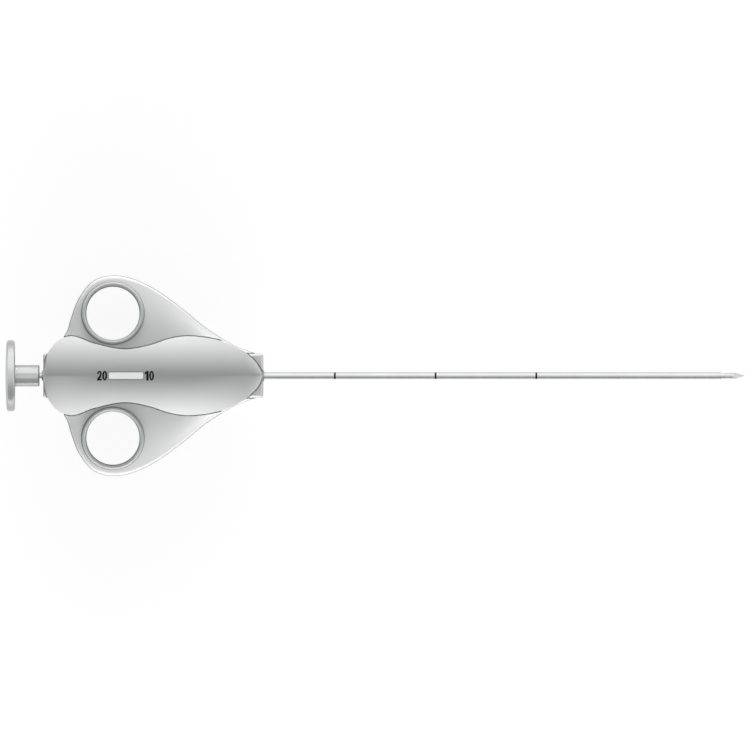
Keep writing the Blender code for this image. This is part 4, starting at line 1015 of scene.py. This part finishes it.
# Throw numbers printed beside the window, from outlines one unit high
numbers = dict(height=4.03 * mm, between=0.05, gapToWindow=0.3 * mm, thickness=0.03 * mm, lift=0.012 * mm,
               levels=12)
digitShapes = {  # width, outline, hole
    "0": (0.51, ellipse(0.255, 0.5, 0.255, 0.5, 0, 350, 35), ellipse(0.255, 0.5, 0.065, 0.34, 0, 350, 35)),
    "1": (0.40, [(0.16, 0.0), (0.40, 0.0), (0.40, 1.0), (0.23, 1.0), (0.0, 0.84), (0.0, 0.62), (0.16, 0.72)],
          None),
    "2": (0.47, [(0.0, 0.0), (0.47, 0.0), (0.47, 0.16), (0.24, 0.16), (0.34, 0.30), (0.41, 0.44)]
          + ellipse(0.235, 0.73, 0.235, 0.27, -35, 180, 20) + [(0.0, 0.66), (0.17, 0.66)]
          + ellipse(0.235, 0.74, 0.065, 0.12, 180, 0, 12) + [(0.29, 0.66), (0.26, 0.56), (0.0, 0.15)], None),
}


def addDigit(shape, across, outline, hole):  # half a unit above and below its middle
    lines = [line for line in (outline, hole) if line]
    loops = [[shape.verts.new((x + across, y - 0.5, 0.0)) for x, y in line] for line in lines]
    if hole:
        for i in range(len(outline)):
            j = (i + 1) % len(outline)
            shape.faces.new((loops[0][i], loops[0][j], loops[1][j], loops[1][i]))
    else:
        shape.faces.new(loops[0])


def printedNumber(name, words, edgeStation, leftward):
    shape = bmesh.new()
    width = 0.0
    for digit in words:
        wide, outline, hole = digitShapes[digit]
        addDigit(shape, width, outline, hole)
        width += wide + numbers["between"]
    width -= numbers["between"]
    for level in range(1, numbers["levels"]):  # level cuts, so that the number can bend over the crown
        bmesh.ops.bisect_plane(shape, geom=shape.verts[:] + shape.edges[:] + shape.faces[:], dist=0.0001,
                               plane_co=(0.0, level / numbers["levels"] - 0.5, 0.0), plane_no=(0.0, 1.0, 0.0))
    bmesh.ops.triangulate(shape, faces=shape.faces[:])
    raised = bmesh.ops.extrude_face_region(shape, geom=shape.faces[:])
    lifted = {v for v in raised["geom"] if isinstance(v, bmesh.types.BMVert)}
    start = edgeStation - width * numbers["height"] if leftward else edgeStation
    for vertex in shape.verts:
        side = vertex.co.y * numbers["height"]
        surface = cover["upperHeight"] - side**2 / (2 * cover["crownRadius"])
        level = numbers["lift"] if vertex in lifted else numbers["lift"] - numbers["thickness"]
        vertex.co = spot(start + vertex.co.x * numbers["height"], side, surface + level)
    finished(closedBody(name, shape), numberInk, "housing", "cover_plastic")


printedNumber("throwNumber20", "20", window["rear"] - window["ledge"] - numbers["gapToWindow"], True)
printedNumber("throwNumber10", "10", window["front"] + window["ledge"] + numbers["gapToWindow"], False)
print("throw numbers made")


# Finishes of the inner solids
innerFinishes = {
    "front_buffer": darkRubber, "sear_pin": bushSteel, "sear_spring": springSteel, "sear_lever": bushSteel,
    "stylet_collar": bushSteel, "carriage": slidePlastic, "cannula_hub": slidePlastic,
    "throw_flag": flagPlastic,
}
for nodeName, finish in innerFinishes.items():
    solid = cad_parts[nodeName]
    solid.data.materials.clear()
    solid.data.materials.append(finish)
print("inner solids finished")


# Floor, lights and camera
studio = dict(
    floorHeight=-0.2 * mm, floorSize=6.0, floorColour=(0.35, 0.35, 0.35), floorRoughness=0.9, floorGlow=0.8,
    lampEnergies=(6.5, 7.1), lampStation=0.08, lampSide=0.65, lampHeight=0.06, lampSize=(1.0, 0.1),
    lampTarget=(0.05, 0.0, axisHeight), ambient=0.36, sideGlow=0.9, sideBand=(0.8, 1.0),
    glossTop=0.84, glossKey=1.15, glossDark=0.3, darkBand=(-0.85, 0.0), keyBand=(0.1, 0.55),
)


def makeFloor():
    shape = bmesh.new()
    bmesh.ops.create_grid(shape, x_segments=1, y_segments=1, size=studio["floorSize"])
    bmesh.ops.translate(shape, vec=(0.0, 0.0, studio["floorHeight"]), verts=shape.verts)
    floor = fromBmesh("floor", shape)
    made, tree, shader = newMaterial("paleFloor")
    feed(tree, shader, {
        "Base Color": (*studio["floorColour"], 1.0), "Roughness": studio["floorRoughness"],
        "Specular IOR Level": 0.0,
    })
    path = node(tree, "ShaderNodeLightPath").outputs
    seen = computed(tree, "MAXIMUM", path["Is Camera Ray"], path["Is Glossy Ray"])
    seen = computed(tree, "MAXIMUM", seen, path["Is Transmission Ray"])
    strength = computed(tree, "MULTIPLY", seen, studio["floorGlow"])
    glow = node(tree, "ShaderNodeEmission", {"Strength": strength})
    both = node(tree, "ShaderNodeAddShader", {0: shader.outputs["BSDF"], 1: glow.outputs["Emission"]})
    feed(tree, tree.nodes["Material Output"], {"Surface": both.outputs["Shader"]})
    floor.data.materials.append(made)


def chosen(tree, switch, whenOff, whenOn):
    return node(tree, "ShaderNodeMix", {0: switch, 2: whenOff, 3: whenOn}, data_type="FLOAT").outputs[0]


def makeWorld():  # bright low on both sides for the matt parts, one soft highlight side for reflections
    world = bpy.data.worlds.new("studioWorld")
    bpy.context.scene.world = world
    world.use_nodes = True
    tree = world.node_tree
    side = parted(tree, node(tree, "ShaderNodeTexCoord").outputs["Generated"])["Y"]
    matt = mapped(tree, computed(tree, "ABSOLUTE", side), *studio["sideBand"], studio["ambient"],
                  studio["sideGlow"])
    below = mapped(tree, side, *studio["darkBand"], studio["glossDark"], studio["glossTop"])
    above = mapped(tree, side, *studio["keyBand"], 0.0, studio["glossKey"] - studio["glossTop"])
    path = node(tree, "ShaderNodeLightPath").outputs
    lit = chosen(tree, path["Is Glossy Ray"], matt, computed(tree, "ADD", below, above))
    strength = chosen(tree, path["Is Camera Ray"], lit, 1.0)
    feed(tree, tree.nodes["Background"], {"Color": (1.0, 1.0, 1.0, 1.0), "Strength": strength})


def makeLamp(name, place, energy):
    lamp = bpy.data.lights.new(name, "AREA")
    lamp.shape = "RECTANGLE"
    lamp.size, lamp.size_y = studio["lampSize"]
    lamp.energy = energy
    holder = bpy.data.objects.new(name, lamp)
    bpy.context.scene.collection.objects.link(holder)
    holder.location = place
    toward = Vector(studio["lampTarget"]) - Vector(place)
    holder.rotation_euler = toward.to_track_quat("-Z", "Y").to_euler()
    holder.visible_glossy = False  # reflections come from the world alone


# Straight from above; the scale is metres a pixel, and the barrel's rear face is at rearPixel
view = dict(scale=0.415 * mm, pixels=750, rearPixel=43.3, side=0.3 * mm, height=1.0, clipEnd=10.0)


def makeCamera():
    lens = bpy.data.cameras.new("cameraAbove")
    lens.type = "ORTHO"
    lens.ortho_scale = view["pixels"] * view["scale"]
    lens.clip_end = view["clipEnd"]
    holder = bpy.data.objects.new("cameraAbove", lens)
    bpy.context.scene.collection.objects.link(holder)
    middle = view["pixels"] / 2 - view["rearPixel"]
    holder.location = (rearFace + middle * view["scale"], view["side"], view["height"])
    bpy.context.scene.camera = holder


makeFloor()
makeWorld()
for hand, energy in zip((1.0, -1.0), studio["lampEnergies"]):
    makeLamp("sideLamp", (studio["lampStation"], hand * studio["lampSide"], studio["lampHeight"]), energy)
makeCamera()
bpy.context.scene.view_settings.view_transform = "Standard"
print("floor, lights and camera set")
